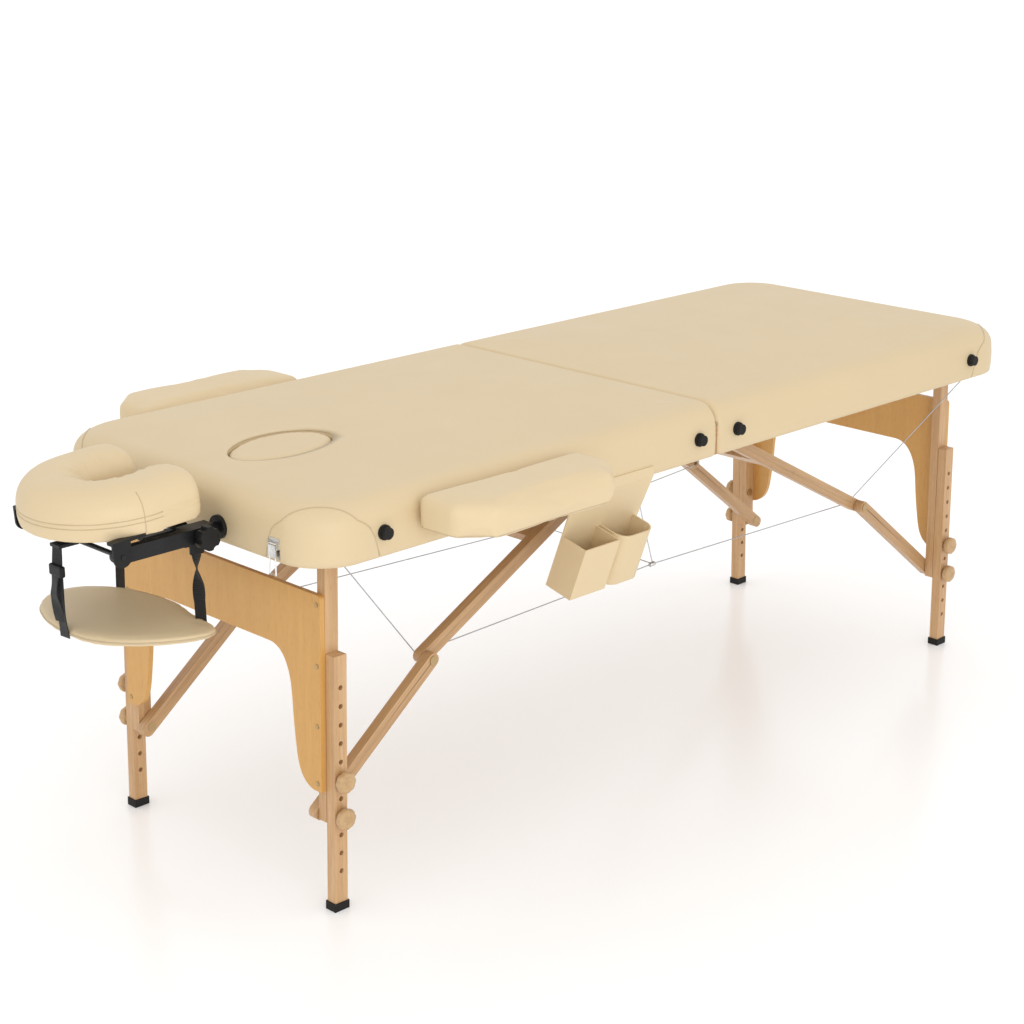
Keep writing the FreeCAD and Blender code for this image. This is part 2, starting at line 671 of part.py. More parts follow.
def pocket(x0, x1, corner):
    """An open-topped fabric pocket, its bottom corners square or round."""
    w = HOLDER_WALL
    y0 = -HALF_WIDTH - 1.0 - HOLDER_DEEP
    y1 = -HALF_WIDTH - 1.0
    outer = block(x0, x1, y0, y1, POCKET_LOW, POCKET_TOP)
    inner = block(x0 + w, x1 - w, y0 + w, y1 - w, POCKET_LOW + w, POCKET_TOP)
    if corner > 0:
        uprights = [e for e in outer.Edges if e.BoundBox.ZLength > 1 and e.BoundBox.YMax < y0 + 1]
        outer = outer.makeFillet(corner, uprights)
        uprights = [e for e in inner.Edges if e.BoundBox.ZLength > 1 and e.BoundBox.YMax < y0 + w + 1]
        inner = inner.makeFillet(corner - w, uprights)
    return outer.cut(inner)


def bottle_holder():
    """Two pockets on a fabric back that hangs from the cover's lower edge."""
    x0, x1 = HOLDER_X
    y1 = -HALF_WIDTH - 1.0
    shift = (UNDERSIDE - POCKET_LOW) * math.tan(math.radians(HOLDER_SKEW_DEG))
    corners = [V(x0, y1, UNDERSIDE), V(x1, y1, UNDERSIDE), V(POCKETS_X[3], y1, POCKET_LOW), V(x0, y1, POCKET_LOW)]
    hanging = extruded(corners, V(0, -HOLDER_WALL, 0))
    hanging = fused([hanging, pocket(POCKETS_X[0], POCKETS_X[1], 0), pocket(POCKETS_X[2], POCKETS_X[3], 24)])
    skew = FreeCAD.Matrix()
    skew.A13 = shift / (UNDERSIDE - POCKET_LOW)
    skew.A14 = -skew.A13 * UNDERSIDE
    hanging = hanging.transformGeometry(skew)
    hanging.rotate(V(0, y1, UNDERSIDE), V(1, 0, 0), HOLDER_LEAN_DEG)
    band = block(x0, x1, y1 - HOLDER_WALL, y1 + 1.0, UNDERSIDE - 1, UNDERSIDE + 16)
    return fused([hanging, band])


def latch_base(side):
    x = -HALF_LENGTH
    y = side * 245
    plate = block(x - 2, x, y - 12, y + 12, 602, 634)
    ears = [block(x - 7, x - 2, y + s * 10 - 1, y + s * 10 + 1, 618, 630) for s in (-1, 1)]
    pin = rod(V(x - 5, y - 11, 625), V(x - 5, y + 11, 625), 1.2)
    return fused([plate, pin] + ears)


def latch_lever(side):
    """The toggle lever with its wire bail, hanging down."""
    x = -HALF_LENGTH - 5
    y = side * 245
    barrel = rod(V(x, y - 8.6, 625), V(x, y + 8.6, 625), 2.6)
    plate = block(x - 2.4, x - 0.6, y - 8.6, y + 8.6, 604, 625)
    lever = fused([barrel, plate]).cut(rod(V(x, y - 12, 625), V(x, y + 12, 625), 1.5))
    wire_x = x - 1.5
    sides = [rod(V(wire_x, y + s * 7, 608), V(wire_x, y + s * 7, 578), 1.3) for s in (-1, 1)]
    foot = rod(V(wire_x, y - 7, 578), V(wire_x, y + 7, 578), 1.3)
    ends = [Part.makeSphere(1.3, V(wire_x, y + s * 7, 578)) for s in (-1, 1)]
    return fused([lever, foot] + sides + ends)


def latch_strike(side):
    x = HALF_LENGTH
    y = side * 245
    plate = block(x, x + 2, y - 10, y + 10, 604, 630)
    hook = block(x + 2, x + 5, y - 7, y + 7, 620, 623).fuse(block(x + 5, x + 7, y - 7, y + 7, 620, 628))
    return fused([plate, hook])


# ---- the whole table -------------------------------------------------------

nodes = {}

for name, place in (("right", lambda shape: shape), ("left", mirrored_x)):
    nodes[name + "_frame"] = [place(s) for s in frame_rails() + frame_blocks()]
    nodes[name + "_deck"] = [place(deck())]
    nodes[name + "_cushion"] = [place(cushion())]
    nodes[name + "_cover"] = [place(cover())]
    nodes[name + "_bumpers"] = [place(bumper(52)), place(bumper(779))]
    nodes[name + "_hardware"] = [place(s) for s in hinge_leaf(0 if name == "right" else 1, name == "right")]
    nodes[name + "_hardware"] += [place(s) for s in frame_bolts()]
    nodes[name + "_carry_handle"] = [place(carry_handle())]
    nodes[name + "_upper_legs"] = [place(s) for s in both_sides([upper_leg()])]
    nodes[name + "_end_panel"] = [place(end_panel())]
    screws = [splayed(screw(point)) for point in screw_points()]
    nodes[name + "_leg_hardware"] = [place(s) for s in both_sides(screws + clamp_bolts())]
    nodes[name + "_lower_struts"] = [place(s) for s in both_sides([lower_strut()])]
    nodes[name + "_knee_bolts"] = [place(s) for s in both_sides([knee_bolt()])]
    nodes[name + "_upper_brace"] = [place(s) for s in both_sides([upper_strut()]) + [crossbar()]]
    nodes[name + "_cables"] = [place(s) for s in end_cables()]
    for side, turn in (("far", lambda shape: shape), ("near", mirrored_y)):
        label = name + "_" + side
        nodes[label + "_extension"] = [turn(place(leg_extension()))]
        nodes[label + "_foot_cap"] = [turn(place(foot_cap()))]
        nodes[label + "_upper_knob"] = [turn(place(clamp_knob(UPPER_CLAMP)))]
        nodes[label + "_lower_knob"] = [turn(place(clamp_knob(LOWER_CLAMP)))]

nodes["left_cables"].append(centre_cables())
nodes["left_hardware"] += [latch_base(-1), latch_base(1)]
nodes["right_hardware"] += [latch_strike(-1), latch_strike(1)]
nodes["near_latch_lever"] = [latch_lever(-1)]
nodes["far_latch_lever"] = [latch_lever(1)]
nodes["cradle_sockets"] = both_sides([cradle_socket()])
nodes["cradle_arms"] = [cradle_arms()]
nodes["cradle_platform"] = [cradle_platform()]
nodes["cradle_cushion"] = [cradle_cushion()]
nodes["cradle_lock_knob"] = [cradle_lock_knob()]
nodes["cradle_cam_lever"] = [cradle_cam_lever()]
nodes["arm_shelf"] = [arm_shelf()]
nodes["shelf_straps"] = shelf_straps()
nodes["face_plug"] = [face_plug()]
nodes["bottle_holder"] = [bottle_holder()]
nodes["far_armrest"] = [armrest_pad()]
nodes["near_armrest"] = [mirrored_y(armrest_pad())]
nodes["far_armrest_posts"] = [armrest_post(x) for x in ARM_POSTS_X]
nodes["near_armrest_posts"] = [mirrored_y(armrest_post(x)) for x in ARM_POSTS_X]

# openings through the head half: face hole, cradle sockets, armrest posts
hole = oval(FACE_HALF_X, FACE_HALF_Y, DECK_TOP - 1, TABLE_TOP + 1)
ledge_hole = oval(FACE_HALF_X - 10, FACE_HALF_Y - 10, RAIL_TOP - 1, DECK_TOP + 1)
nodes["left_cushion"] = [s.cut(hole) for s in nodes["left_cushion"]]
nodes["left_deck"] = [s.cut(ledge_hole) for s in nodes["left_deck"]]
bores = [socket_bore(POST_Y), socket_bore(-POST_Y)] + both_sides([armrest_bore(x) for x in ARM_POSTS_X])
for name in ("left_frame", "left_cover"):
    for bore in bores:
        nodes[name] = [s.cut(bore) for s in nodes[name]]

for name, shapes in nodes.items():
    solids = [solid for shape in shapes for solid in shape.Solids]
    whole = solids[0].copy() if len(solids) == 1 else Part.makeCompound(solids)
    whole.translate(V(-ROW_ORIGIN_X, 0, 0))
    whole.exportStep("parts/" + name + ".step")
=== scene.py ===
import json
import math

import bmesh
import bpy
import numpy as np
from mathutils import Matrix, Vector


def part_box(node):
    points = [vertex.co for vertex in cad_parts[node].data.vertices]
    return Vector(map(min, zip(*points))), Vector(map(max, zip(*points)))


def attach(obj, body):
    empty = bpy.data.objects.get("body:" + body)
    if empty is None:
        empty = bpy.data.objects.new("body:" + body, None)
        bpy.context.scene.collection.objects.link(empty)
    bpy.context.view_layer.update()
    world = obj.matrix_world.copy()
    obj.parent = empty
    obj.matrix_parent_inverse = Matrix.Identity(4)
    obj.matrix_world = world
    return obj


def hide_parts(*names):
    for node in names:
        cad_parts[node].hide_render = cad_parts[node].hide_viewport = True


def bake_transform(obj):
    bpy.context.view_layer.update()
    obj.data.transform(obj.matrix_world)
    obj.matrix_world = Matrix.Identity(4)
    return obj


# Visual model of a portable massage table, in metres, in the CAD's frame:
# X along the table toward the foot end, Y across, Z up from the floor.

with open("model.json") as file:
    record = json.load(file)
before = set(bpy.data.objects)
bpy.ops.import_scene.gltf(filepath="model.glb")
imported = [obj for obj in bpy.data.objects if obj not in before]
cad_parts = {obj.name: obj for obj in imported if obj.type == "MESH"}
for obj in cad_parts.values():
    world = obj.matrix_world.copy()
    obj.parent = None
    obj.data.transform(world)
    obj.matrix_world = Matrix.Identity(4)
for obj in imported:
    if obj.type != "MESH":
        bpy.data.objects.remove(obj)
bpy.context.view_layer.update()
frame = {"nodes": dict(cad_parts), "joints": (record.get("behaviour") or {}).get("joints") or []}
NODES = frame["nodes"]


# ---- places taken from the frame -------------------------------------------


def joint(name):
    return next(j for j in frame["joints"] if j["name"] == name)


HINGE = Vector(joint("centre_fold")["pos_m"])
MID_X = HINGE.x
TOP_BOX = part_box("right_cushion")
COVER_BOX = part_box("right_cover")
UNDER_Z = COVER_BOX[0].z
TOP_Z = TOP_BOX[1].z
HALF_LENGTH = TOP_BOX[1].x - MID_X
HALF_WIDTH = TOP_BOX[1].y


# ---- materials -------------------------------------------------------------


def node(tree, kind, **inputs):
    made = tree.nodes.new(kind)
    for key, value in inputs.items():
        made.inputs[key.replace("_", " ")].default_value = value
    return made


def start_material(name, colour, roughness, metallic=0.0, specular=0.5):
    made = bpy.data.materials.new(name)
    made.use_nodes = True
    tree = made.node_tree
    shader = tree.nodes["Principled BSDF"]
    shader.inputs["Base Color"].default_value = (*colour, 1)
    shader.inputs["Roughness"].default_value = roughness
    shader.inputs["Metallic"].default_value = metallic
    shader.inputs["Specular IOR Level"].default_value = specular
    return made, tree, shader


def object_coords(tree, scale=(1, 1, 1), rotation=(0, 0, 0)):
    """Object coordinates, turned and then stretched."""
    coords = tree.nodes.new("ShaderNodeTexCoord")
    turn = tree.nodes.new("ShaderNodeMapping")
    turn.inputs["Rotation"].default_value = rotation
    tree.links.new(coords.outputs["Object"], turn.inputs["Vector"])
    stretch = tree.nodes.new("ShaderNodeMapping")
    stretch.inputs["Scale"].default_value = scale
    tree.links.new(turn.outputs["Vector"], stretch.inputs["Vector"])
    return stretch.outputs["Vector"]


def noise(tree, vector, scale, detail=3.0, roughness=0.5, distortion=0.0):
    made = node(tree, "ShaderNodeTexNoise", Scale=scale, Detail=detail, Roughness=roughness,
                Distortion=distortion)
    tree.links.new(vector, made.inputs["Vector"])
    return made.outputs["Fac"]


def ramp(tree, factor, stops):
    made = tree.nodes.new("ShaderNodeValToRGB")
    points = made.color_ramp.elements
    while len(points) < len(stops):
        points.new(0.5)
    for point, (place, colour) in zip(points, stops):
        point.position = place
        point.color = (*colour, 1) if len(colour) == 3 else colour
    tree.links.new(factor, made.inputs["Fac"])
    return made.outputs["Color"]


def bump(tree, shader, layers):
    """Chains bump nodes: layers are (height output, strength, distance in metres)."""
    previous = None
    for height, strength, distance in layers:
        made = node(tree, "ShaderNodeBump", Strength=strength, Distance=distance)
        tree.links.new(height, made.inputs["Height"])
        if previous is not None:
            tree.links.new(previous, made.inputs["Normal"])
        previous = made.outputs["Normal"]
    tree.links.new(previous, shader.inputs["Normal"])


def shade(colour, factor):
    return tuple(min(1.0, c * factor) for c in colour)


def leather(name, colour, wrinkle=0.15):
    """Smooth synthetic leather: a fine pebble, soft tone changes and shallow handling marks."""
    made, tree, shader = start_material(name, colour, 0.46, specular=0.42)
    vector = object_coords(tree)
    tone = noise(tree, vector, 5.0, 4.0, 0.55)
    tree.links.new(ramp(tree, tone, [(0.3, shade(colour, 0.985)), (0.7, shade(colour, 1.012))]),
                   shader.inputs["Base Color"])
    rough = noise(tree, vector, 14.0, 5.0)
    spread = node(tree, "ShaderNodeMapRange")
    spread.inputs["To Min"].default_value = 0.38
    spread.inputs["To Max"].default_value = 0.55
    tree.links.new(rough, spread.inputs["Value"])
    tree.links.new(spread.outputs["Result"], shader.inputs["Roughness"])
    pebble = node(tree, "ShaderNodeTexVoronoi", Scale=720.0)
    tree.links.new(vector, pebble.inputs["Vector"])
    fold = noise(tree, vector, 22.0, 4.0, 0.6, 0.4)
    bump(tree, shader, [(fold, wrinkle, 0.004), (pebble.outputs["Distance"], 0.16, 0.0006)])
    return made


def wood(name, pale, dark, along=(0, 0, 0), figure=1.0, rough=0.38):
    """Lacquered wood whose grain runs along local Z after turning by along."""
    made, tree, shader = start_material(name, pale, rough, specular=0.45)
    shader.inputs["Coat Weight"].default_value = 0.18
    shader.inputs["Coat Roughness"].default_value = 0.22
    fine = noise(tree, object_coords(tree, (260, 260, 7), along), 1.0, 5.0, 0.62)
    broad = noise(tree, object_coords(tree, (46, 46, 1.6), along), 1.0, 3.0, 0.5, 1.1)
    pores = noise(tree, object_coords(tree, (900, 900, 55), along), 1.0, 2.0, 0.5)
    mix = tree.nodes.new("ShaderNodeMix")
    mix.inputs["Factor"].default_value = 0.45
    tree.links.new(fine, mix.inputs["A"])
    tree.links.new(broad, mix.inputs["B"])
    middle = tuple((a + b) / 2 for a, b in zip(pale, dark))
    grain = ramp(tree, mix.outputs["Result"],
                 [(0.5 - 0.2 * figure, dark), (0.5, middle), (0.5 + 0.14 * figure, pale)])
    flecks = ramp(tree, pores, [(0.30, (0.72, 0.66, 0.60)), (0.42, (1, 1, 1))])
    tint = tree.nodes.new("ShaderNodeMix")
    tint.data_type = "RGBA"
    tint.blend_type = "MULTIPLY"
    tint.inputs["Factor"].default_value = 0.55
    tree.links.new(grain, tint.inputs["A"])
    tree.links.new(flecks, tint.inputs["B"])
    tree.links.new(tint.outputs["Result"], shader.inputs["Base Color"])
    bump(tree, shader, [(fine, 0.10, 0.0006), (pores, 0.08, 0.0003)])
    return made


def moulded(name, colour, rough=0.45, grain=900.0, strength=0.12, specular=0.5):
    """Moulded plastic or rubber with a fine spark-eroded texture."""
    made, tree, shader = start_material(name, colour, rough, specular=specular)
    vector = object_coords(tree)
    fine = noise(tree, vector, grain, 2.0)
    broad = noise(tree, vector, 30.0, 3.0)
    tree.links.new(ramp(tree, broad, [(0.3, shade(colour, 0.85)), (0.7, shade(colour, 1.25))]),
                   shader.inputs["Base Color"])
    bump(tree, shader, [(fine, strength, 0.0004)])
    return made


def metal(name, colour, rough, brushed=(40, 40, 900)):
    made, tree, shader = start_material(name, colour, rough, metallic=1.0)
    lines = noise(tree, object_coords(tree, brushed), 1.0, 3.0)
    spread = node(tree, "ShaderNodeMapRange")
    spread.inputs["To Min"].default_value = max(0.04, rough - 0.08)
    spread.inputs["To Max"].default_value = rough + 0.10
    tree.links.new(lines, spread.inputs["Value"])
    tree.links.new(spread.outputs["Result"], shader.inputs["Roughness"])
    bump(tree, shader, [(lines, 0.06, 0.0003)])
    return made


def webbing(name, colour):
    """Woven strap: close ribs across it and a fine weave."""
    made, tree, shader = start_material(name, colour, 0.75, specular=0.25)
    vector = object_coords(tree)
    rib = node(tree, "ShaderNodeTexWave", Scale=260.0, Distortion=0.4, Detail=1.0)
    rib.bands_direction = "Z"
    tree.links.new(vector, rib.inputs["Vector"])
    fuzz = noise(tree, vector, 1600.0, 2.0)
    tree.links.new(ramp(tree, rib.outputs["Fac"], [(0.2, shade(colour, 0.6)), (0.8, shade(colour, 1.5))]),
                   shader.inputs["Base Color"])
    bump(tree, shader, [(rib.outputs["Fac"], 0.5, 0.0006), (fuzz, 0.2, 0.0003)])
    shader.inputs["Sheen Weight"].default_value = 0.15
    return made


CREAM = (0.690, 0.545, 0.335)
LEATHER = leather("cream_leather", CREAM)
SOFT_LEATHER = leather("cream_leather_soft", shade(CREAM, 1.03), 0.30)
SEAM = leather("cream_seam", shade(CREAM, 0.80), 0.1)
BEECH_PALE = (0.64, 0.405, 0.205)
BEECH_DARK = (0.47, 0.262, 0.115)
LEG_WOOD = wood("beech_upright", BEECH_PALE, BEECH_DARK, (0, 0, 0))
RAIL_WOOD_X = wood("beech_along", BEECH_PALE, BEECH_DARK, (0, math.radians(90), 0))
PANEL_WOOD = wood("golden_ply", (0.67, 0.370, 0.105), (0.61, 0.325, 0.085), (0, 0, 0), 1.0)
DECK_WOOD = wood("deck_ply", (0.50, 0.36, 0.22), (0.38, 0.26, 0.15), (0, math.radians(90), 0), 1.0, 0.6)
KNOB_WOOD = wood("knob_wood", (0.60, 0.39, 0.19), (0.46, 0.28, 0.13), (math.radians(90), 0, 0))
RUBBER = moulded("black_rubber", (0.013, 0.012, 0.011), 0.60, 700, 0.2, 0.22)
PLASTIC = moulded("black_plastic", (0.010, 0.010, 0.010), 0.42, specular=0.24)
BLACK_METAL = moulded("black_coated_steel", (0.011, 0.011, 0.012), 0.36, 500, 0.1, 0.26)
STEEL = metal("zinc_steel", (0.66, 0.66, 0.65), 0.28)
CHROME = metal("bright_nickel", (0.78, 0.78, 0.78), 0.14)
BRASS = metal("yellow_plate", (0.50, 0.36, 0.19), 0.38)
WIRE = metal("wire_rope", (0.50, 0.52, 0.55), 0.38, (900, 900, 900))
WEBBING = webbing("black_webbing", (0.014, 0.014, 0.014))


def strut_wood(name, low, high):
    """Beech whose grain follows the line from a low point up to a high one."""
    way = high - low
    return wood(name, shade(BEECH_PALE, 0.93), shade(BEECH_DARK, 0.9), (0, -math.atan2(way.x, way.z), 0))


def dress(name, material, bevel=0.0):
    """Gives a CAD node a material and, where it helps, a small edge bevel."""
    piece = NODES[name]
    piece.data.materials.clear()
    piece.data.materials.append(material)
    for polygon in piece.data.polygons:
        polygon.material_index = 0
    if bevel > 0:
        weld = piece.modifiers.new("weld", "WELD")
        weld.merge_threshold = 0.00002
        edge = piece.modifiers.new("bevel", "BEVEL")
        edge.width = bevel
        edge.segments = 2
        edge.limit_method = "ANGLE"
        edge.angle_limit = math.radians(40)


# ---- mesh helpers ----------------------------------------------------------


def add_mesh(name, verts, faces, material, smooth=True):
    mesh = bpy.data.meshes.new(name)
    mesh.from_pydata([tuple(v) for v in verts], [], faces)
    mesh.update()
    made = bpy.data.objects.new(name, mesh)
    bpy.context.scene.collection.objects.link(made)
    mesh.materials.append(material)
    if smooth:
        mesh.polygons.foreach_set("use_smooth", [True] * len(mesh.polygons))
    return made


def tube_mesh(points, radius, sides=8, closed=False):
    """Vertices and faces of a tube along points."""
    points = [Vector(p) for p in points]
    count = len(points)
    verts, faces = [], []
    up = Vector((0, 0, 1))
    side = None
    for index in range(count):
        before = points[index - 1] if (index > 0 or closed) else points[index]
        after = points[(index + 1) % count] if (index < count - 1 or closed) else points[index]
        way = (after - before).normalized()
        if side is None:
            side = way.cross(up)
            if side.length < 0.1:
                side = way.cross(Vector((1, 0, 0)))
        side = (side - way * side.dot(way)).normalized()
        other = way.cross(side)
        for turn in range(sides):
            angle = 2 * math.pi * turn / sides
            verts.append(points[index] + (side * math.cos(angle) + other * math.sin(angle)) * radius)
    spans = count if closed else count - 1
    for index in range(spans):
        a = index * sides
        b = ((index + 1) % count) * sides
        for turn in range(sides):
            nxt = (turn + 1) % sides
            faces.append((a + turn, a + nxt, b + nxt, b + turn))
    if not closed:
        faces.append(tuple(range(sides))[::-1])
        faces.append(tuple((count - 1) * sides + t for t in range(sides)))
    return verts, faces


def tubes(name, paths, radius, material, sides=8, closed=False):
    """Several tubes as one object."""
    verts, faces = [], []
    for path in paths:
        v, f = tube_mesh(path, radius, sides, closed)
        faces += [tuple(i + len(verts) for i in face) for face in f]
        verts += v
    return add_mesh(name, verts, faces, material)


def grid_faces(rings, count, close_u=True):
    faces = []
    last = count if close_u else count - 1
    for k in range(rings - 1):
        for u in range(last):
            v = (u + 1) % count
            faces.append((k * count + u, k * count + v, (k + 1) * count + v, (k + 1) * count + u))
    return faces


# ---- the upholstered halves ------------------------------------------------

SPLIT_X = 0.0004
END_RADIUS = 0.080
SPLIT_RADIUS = 0.012
ROUND_IN = 0.046
ROUND_UP = 0.043
SPLIT_ROUND = 0.010
CROWN = 0.009
UNDER_TURN = 0.022

# the face hole's inner wall below its rim: (drop, growth)
HOLE_WALL = ((0.0008, -0.0004), (0.003, -0.0022), (0.007, -0.003), (0.018, -0.003), (0.036, -0.003))


def half_outline():
    """Plan points of one half from the split, round the near side, the end and the far side, and back.
    Each is (x from the split, y, share of split edge)."""
    x1, y1 = HALF_LENGTH, HALF_WIDTH
    points = []

    def line(a, b, steps, weight):
        for i in range(steps):
            t = i / steps
            points.append((a[0] + (b[0] - a[0]) * t, a[1] + (b[1] - a[1]) * t, weight))

    def arc(centre, radius, start, end, steps, w0, w1):
        for i in range(steps):
            t = i / steps
            angle = math.radians(start + (end - start) * t)
            points.append((centre[0] + radius * math.cos(angle), centre[1] + radius * math.sin(angle),
                           w0 + (w1 - w0) * t))

    r, s = END_RADIUS, SPLIT_RADIUS
    line((SPLIT_X, 0), (SPLIT_X, -y1 + s), 30, 1)
    arc((SPLIT_X + s, -y1 + s), s, 180, 270, 10, 1, 0)
    line((SPLIT_X + s, -y1), (x1 - r, -y1), 70, 0)
    arc((x1 - r, -y1 + r), r, 270, 360, 22, 0, 0)
    line((x1, -y1 + r), (x1, y1 - r), 46, 0)
    arc((x1 - r, y1 - r), r, 0, 90, 22, 0, 0)
    line((x1 - r, y1), (SPLIT_X + s, y1), 70, 0)
    arc((SPLIT_X + s, y1 - s), s, 90, 180, 10, 0, 1)
    line((SPLIT_X, y1 - s), (SPLIT_X, 0), 30, 1)
    return points


def edge_profile():
    """(inset on outer sides, z there, inset on the split, z there) from the underside up to the top."""
    rows = [(UNDER_TURN, UNDER_Z - 0.0012, UNDER_TURN, UNDER_Z - 0.0006),
            (0.0025, UNDER_Z - 0.0012, 0.003, UNDER_Z - 0.0006),
            (0.0, UNDER_Z + 0.0012, 0.0, UNDER_Z + 0.002)]
    start = TOP_Z - ROUND_UP
    for i in range(1, 7):
        z = UNDER_Z + (start - UNDER_Z) * i / 6
        rows.append((-0.0012 * math.sin(math.pi * i / 6), z, 0.0, z))
    for i in range(1, 17):
        t = i / 16
        angle = t * math.pi / 2
        inset = ROUND_IN * (1 - math.cos(angle) ** 0.92)
        z = start + ROUND_UP * math.sin(angle) ** 0.92
        if t < 0.6:
            split_in, split_z = 0.0, start + (TOP_Z - 0.002 - SPLIT_ROUND - start) * t / 0.6
        else:
            bend = (t - 0.6) / 0.4 * math.pi / 2
            split_in = SPLIT_ROUND * (1 - math.cos(bend))
            split_z = TOP_Z - 0.002 - SPLIT_ROUND + SPLIT_ROUND * math.sin(bend)
        rows.append((inset, z, split_in, split_z))
    return rows


def crown(x, y):
    """Height of the padding above its edge line."""
    across = max(0.0, 1 - (abs(y) / (HALF_WIDTH - ROUND_IN)) ** 2.4)
    from_split = min(1.0, max(0.0, (x - SPLIT_ROUND) / 0.16))
    from_end = min(1.0, max(0.0, (HALF_LENGTH - ROUND_IN - x) / 0.20))
    ease = lambda t: t * (2 - t)
    return CROWN * across * ease(from_split) * ease(from_end)


FACE_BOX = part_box("face_plug")
FACE_CENTRE = Vector(((FACE_BOX[0].x + FACE_BOX[1].x) / 2 - MID_X, (FACE_BOX[0].y + FACE_BOX[1].y) / 2))
FACE_A = (FACE_BOX[1].x - FACE_BOX[0].x) / 2 + 0.0004
FACE_B = (FACE_BOX[1].y - FACE_BOX[0].y) / 2 + 0.0004


def upholstered_half(name, side, with_hole):
    """One half's leather cover, from its turned-under hem to the crowned top, and its ring grid."""
    outline = half_outline()
    count = len(outline)
    x1, y1 = HALF_LENGTH, HALF_WIDTH
    grid = []
    for inset, z, split_in, split_z in edge_profile():
        ring = []
        for x, y, weight in outline:
            ease = weight * weight * (3 - 2 * weight)
            share = (x1 - inset - split_in) / x1
            px = split_in + x * share
            py = y * (y1 - inset) / y1
            ring.append(Vector((px, py, z * (1 - ease) + split_z * ease)))
        grid.append(ring)
    rim = grid[-1]
    steps = 26
    centre = Vector((x1 * 0.5, 0, 0))
    for j in range(1, steps + 1):
        t = j / steps
        ring = []
        for point in rim:
            if with_hole:
                dx, dy = (point.x + FACE_CENTRE.x) / FACE_A, (point.y - FACE_CENTRE.y) / FACE_B
                angle = math.atan2(dy, dx)
                target = Vector((-FACE_CENTRE.x + FACE_A * math.cos(angle),
                                 FACE_CENTRE.y + FACE_B * math.sin(angle), 0))
            else:
                target = centre
            x = point.x + (target.x - point.x) * t
            y = point.y + (target.y - point.y) * t
            base = point.z + (TOP_Z - point.z) * min(1, t * 3)
            ring.append(Vector((x, y, base + crown(x, y))))
        grid.append(ring)
    if with_hole:
        hole_rim = grid[-1]
        for drop, grow in HOLE_WALL:
            ring = []
            for point in hole_rim:
                outward = Vector((point.x + FACE_CENTRE.x, point.y - FACE_CENTRE.y, 0)).normalized()
                ring.append(point + outward * (grow + 0.003) - Vector((0, 0, drop)))
            grid.append(ring)
    verts = []
    for ring in grid:
        for p in ring:
            verts.append(Vector((MID_X + side * p.x, p.y, p.z)))
    faces = grid_faces(len(grid), count)
    if not with_hole:
        faces.append(tuple((len(grid) - 1) * count + u for u in range(count)))
    if side < 0:
        faces = [face[::-1] for face in faces]
    made = add_mesh(name, verts, faces, LEATHER)
    return made, [verts[k * count:(k + 1) * count] for k in range(len(grid))]


def on_grid(grid, u, k, lift=0.0):
    """A point on the cover at outline position u and ring k, both fractional."""
    count = len(grid[0])
    u0, k0 = int(math.floor(u)), int(math.floor(k))
    fu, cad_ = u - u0, k - k0
    k1 = min(k0 + 1, len(grid) - 1)
    a = grid[k0][u0 % count].lerp(grid[k0][(u0 + 1) % count], fu)
    b = grid[k1][u0 % count].lerp(grid[k1][(u0 + 1) % count], fu)
    c = grid[k0][(u0 + 2) % count] - grid[k0][(u0 - 1) % count]
    d = grid[k1][u0 % count] - grid[max(0, k0 - 1)][u0 % count]
    normal = c.cross(d).normalized()
    here = a.lerp(b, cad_)
    middle = Vector((MID_X, 0, TOP_Z - 0.05))
    if normal.dot(here - middle) < 0:
        normal = -normal
    return here + normal * lift


halves = {}
for body, side, hole in (("right_half", 1, False), ("left_half", -1, True)):
    label = body.split("_")[0]
    piece, grid = upholstered_half(label + "_upholstery", side, hole)
    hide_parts(label + "_cushion", label + "_cover")
    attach(piece, body)
    halves[label] = grid

# outline positions of the two end corners: 30 + 10 + 70 points come before the near one
NEAR_CORNER = 110
FAR_CORNER = NEAR_CORNER + 22 + 46


def corner_patch(grid, first, name, body):
    """The arched seam of the sewn corner patch."""
    path = []
    for i in range(41):
        t = i / 40
        u = first - 3.6 + 29.0 * t
        k = 2.2 + 15.5 * math.sin(math.pi * t) ** 0.55
        path.append(on_grid(grid, u, k, 0.0001))
    piece = tubes(name, [path], 0.0011, SEAM, 6)
    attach(piece, body)


for label in ("left", "right"):
    for which, first in (("near", NEAR_CORNER), ("far", FAR_CORNER)):
        corner_patch(halves[label], first, f"{label}_{which}_corner_seam", label + "_half")


# ---- simulated pads --------------------------------------------------------


def copy_of(name, new_name):
    """A free copy of a CAD node's mesh, its doubled points merged."""
    mesh = NODES[name].data.copy()
    made = bpy.data.objects.new(new_name, mesh)
    bpy.context.scene.collection.objects.link(made)
    tool = bmesh.new()
    tool.from_mesh(mesh)
    bmesh.ops.remove_doubles(tool, verts=tool.verts, dist=0.00002)
    tool.to_mesh(mesh)
    tool.free()
    return made


def apply_all(piece):
    evaluated = piece.evaluated_get(bpy.context.evaluated_depsgraph_get())
    mesh = bpy.data.meshes.new_from_object(evaluated)
    piece.modifiers.clear()
    old = piece.data
    piece.data = mesh
    bpy.data.meshes.remove(old)


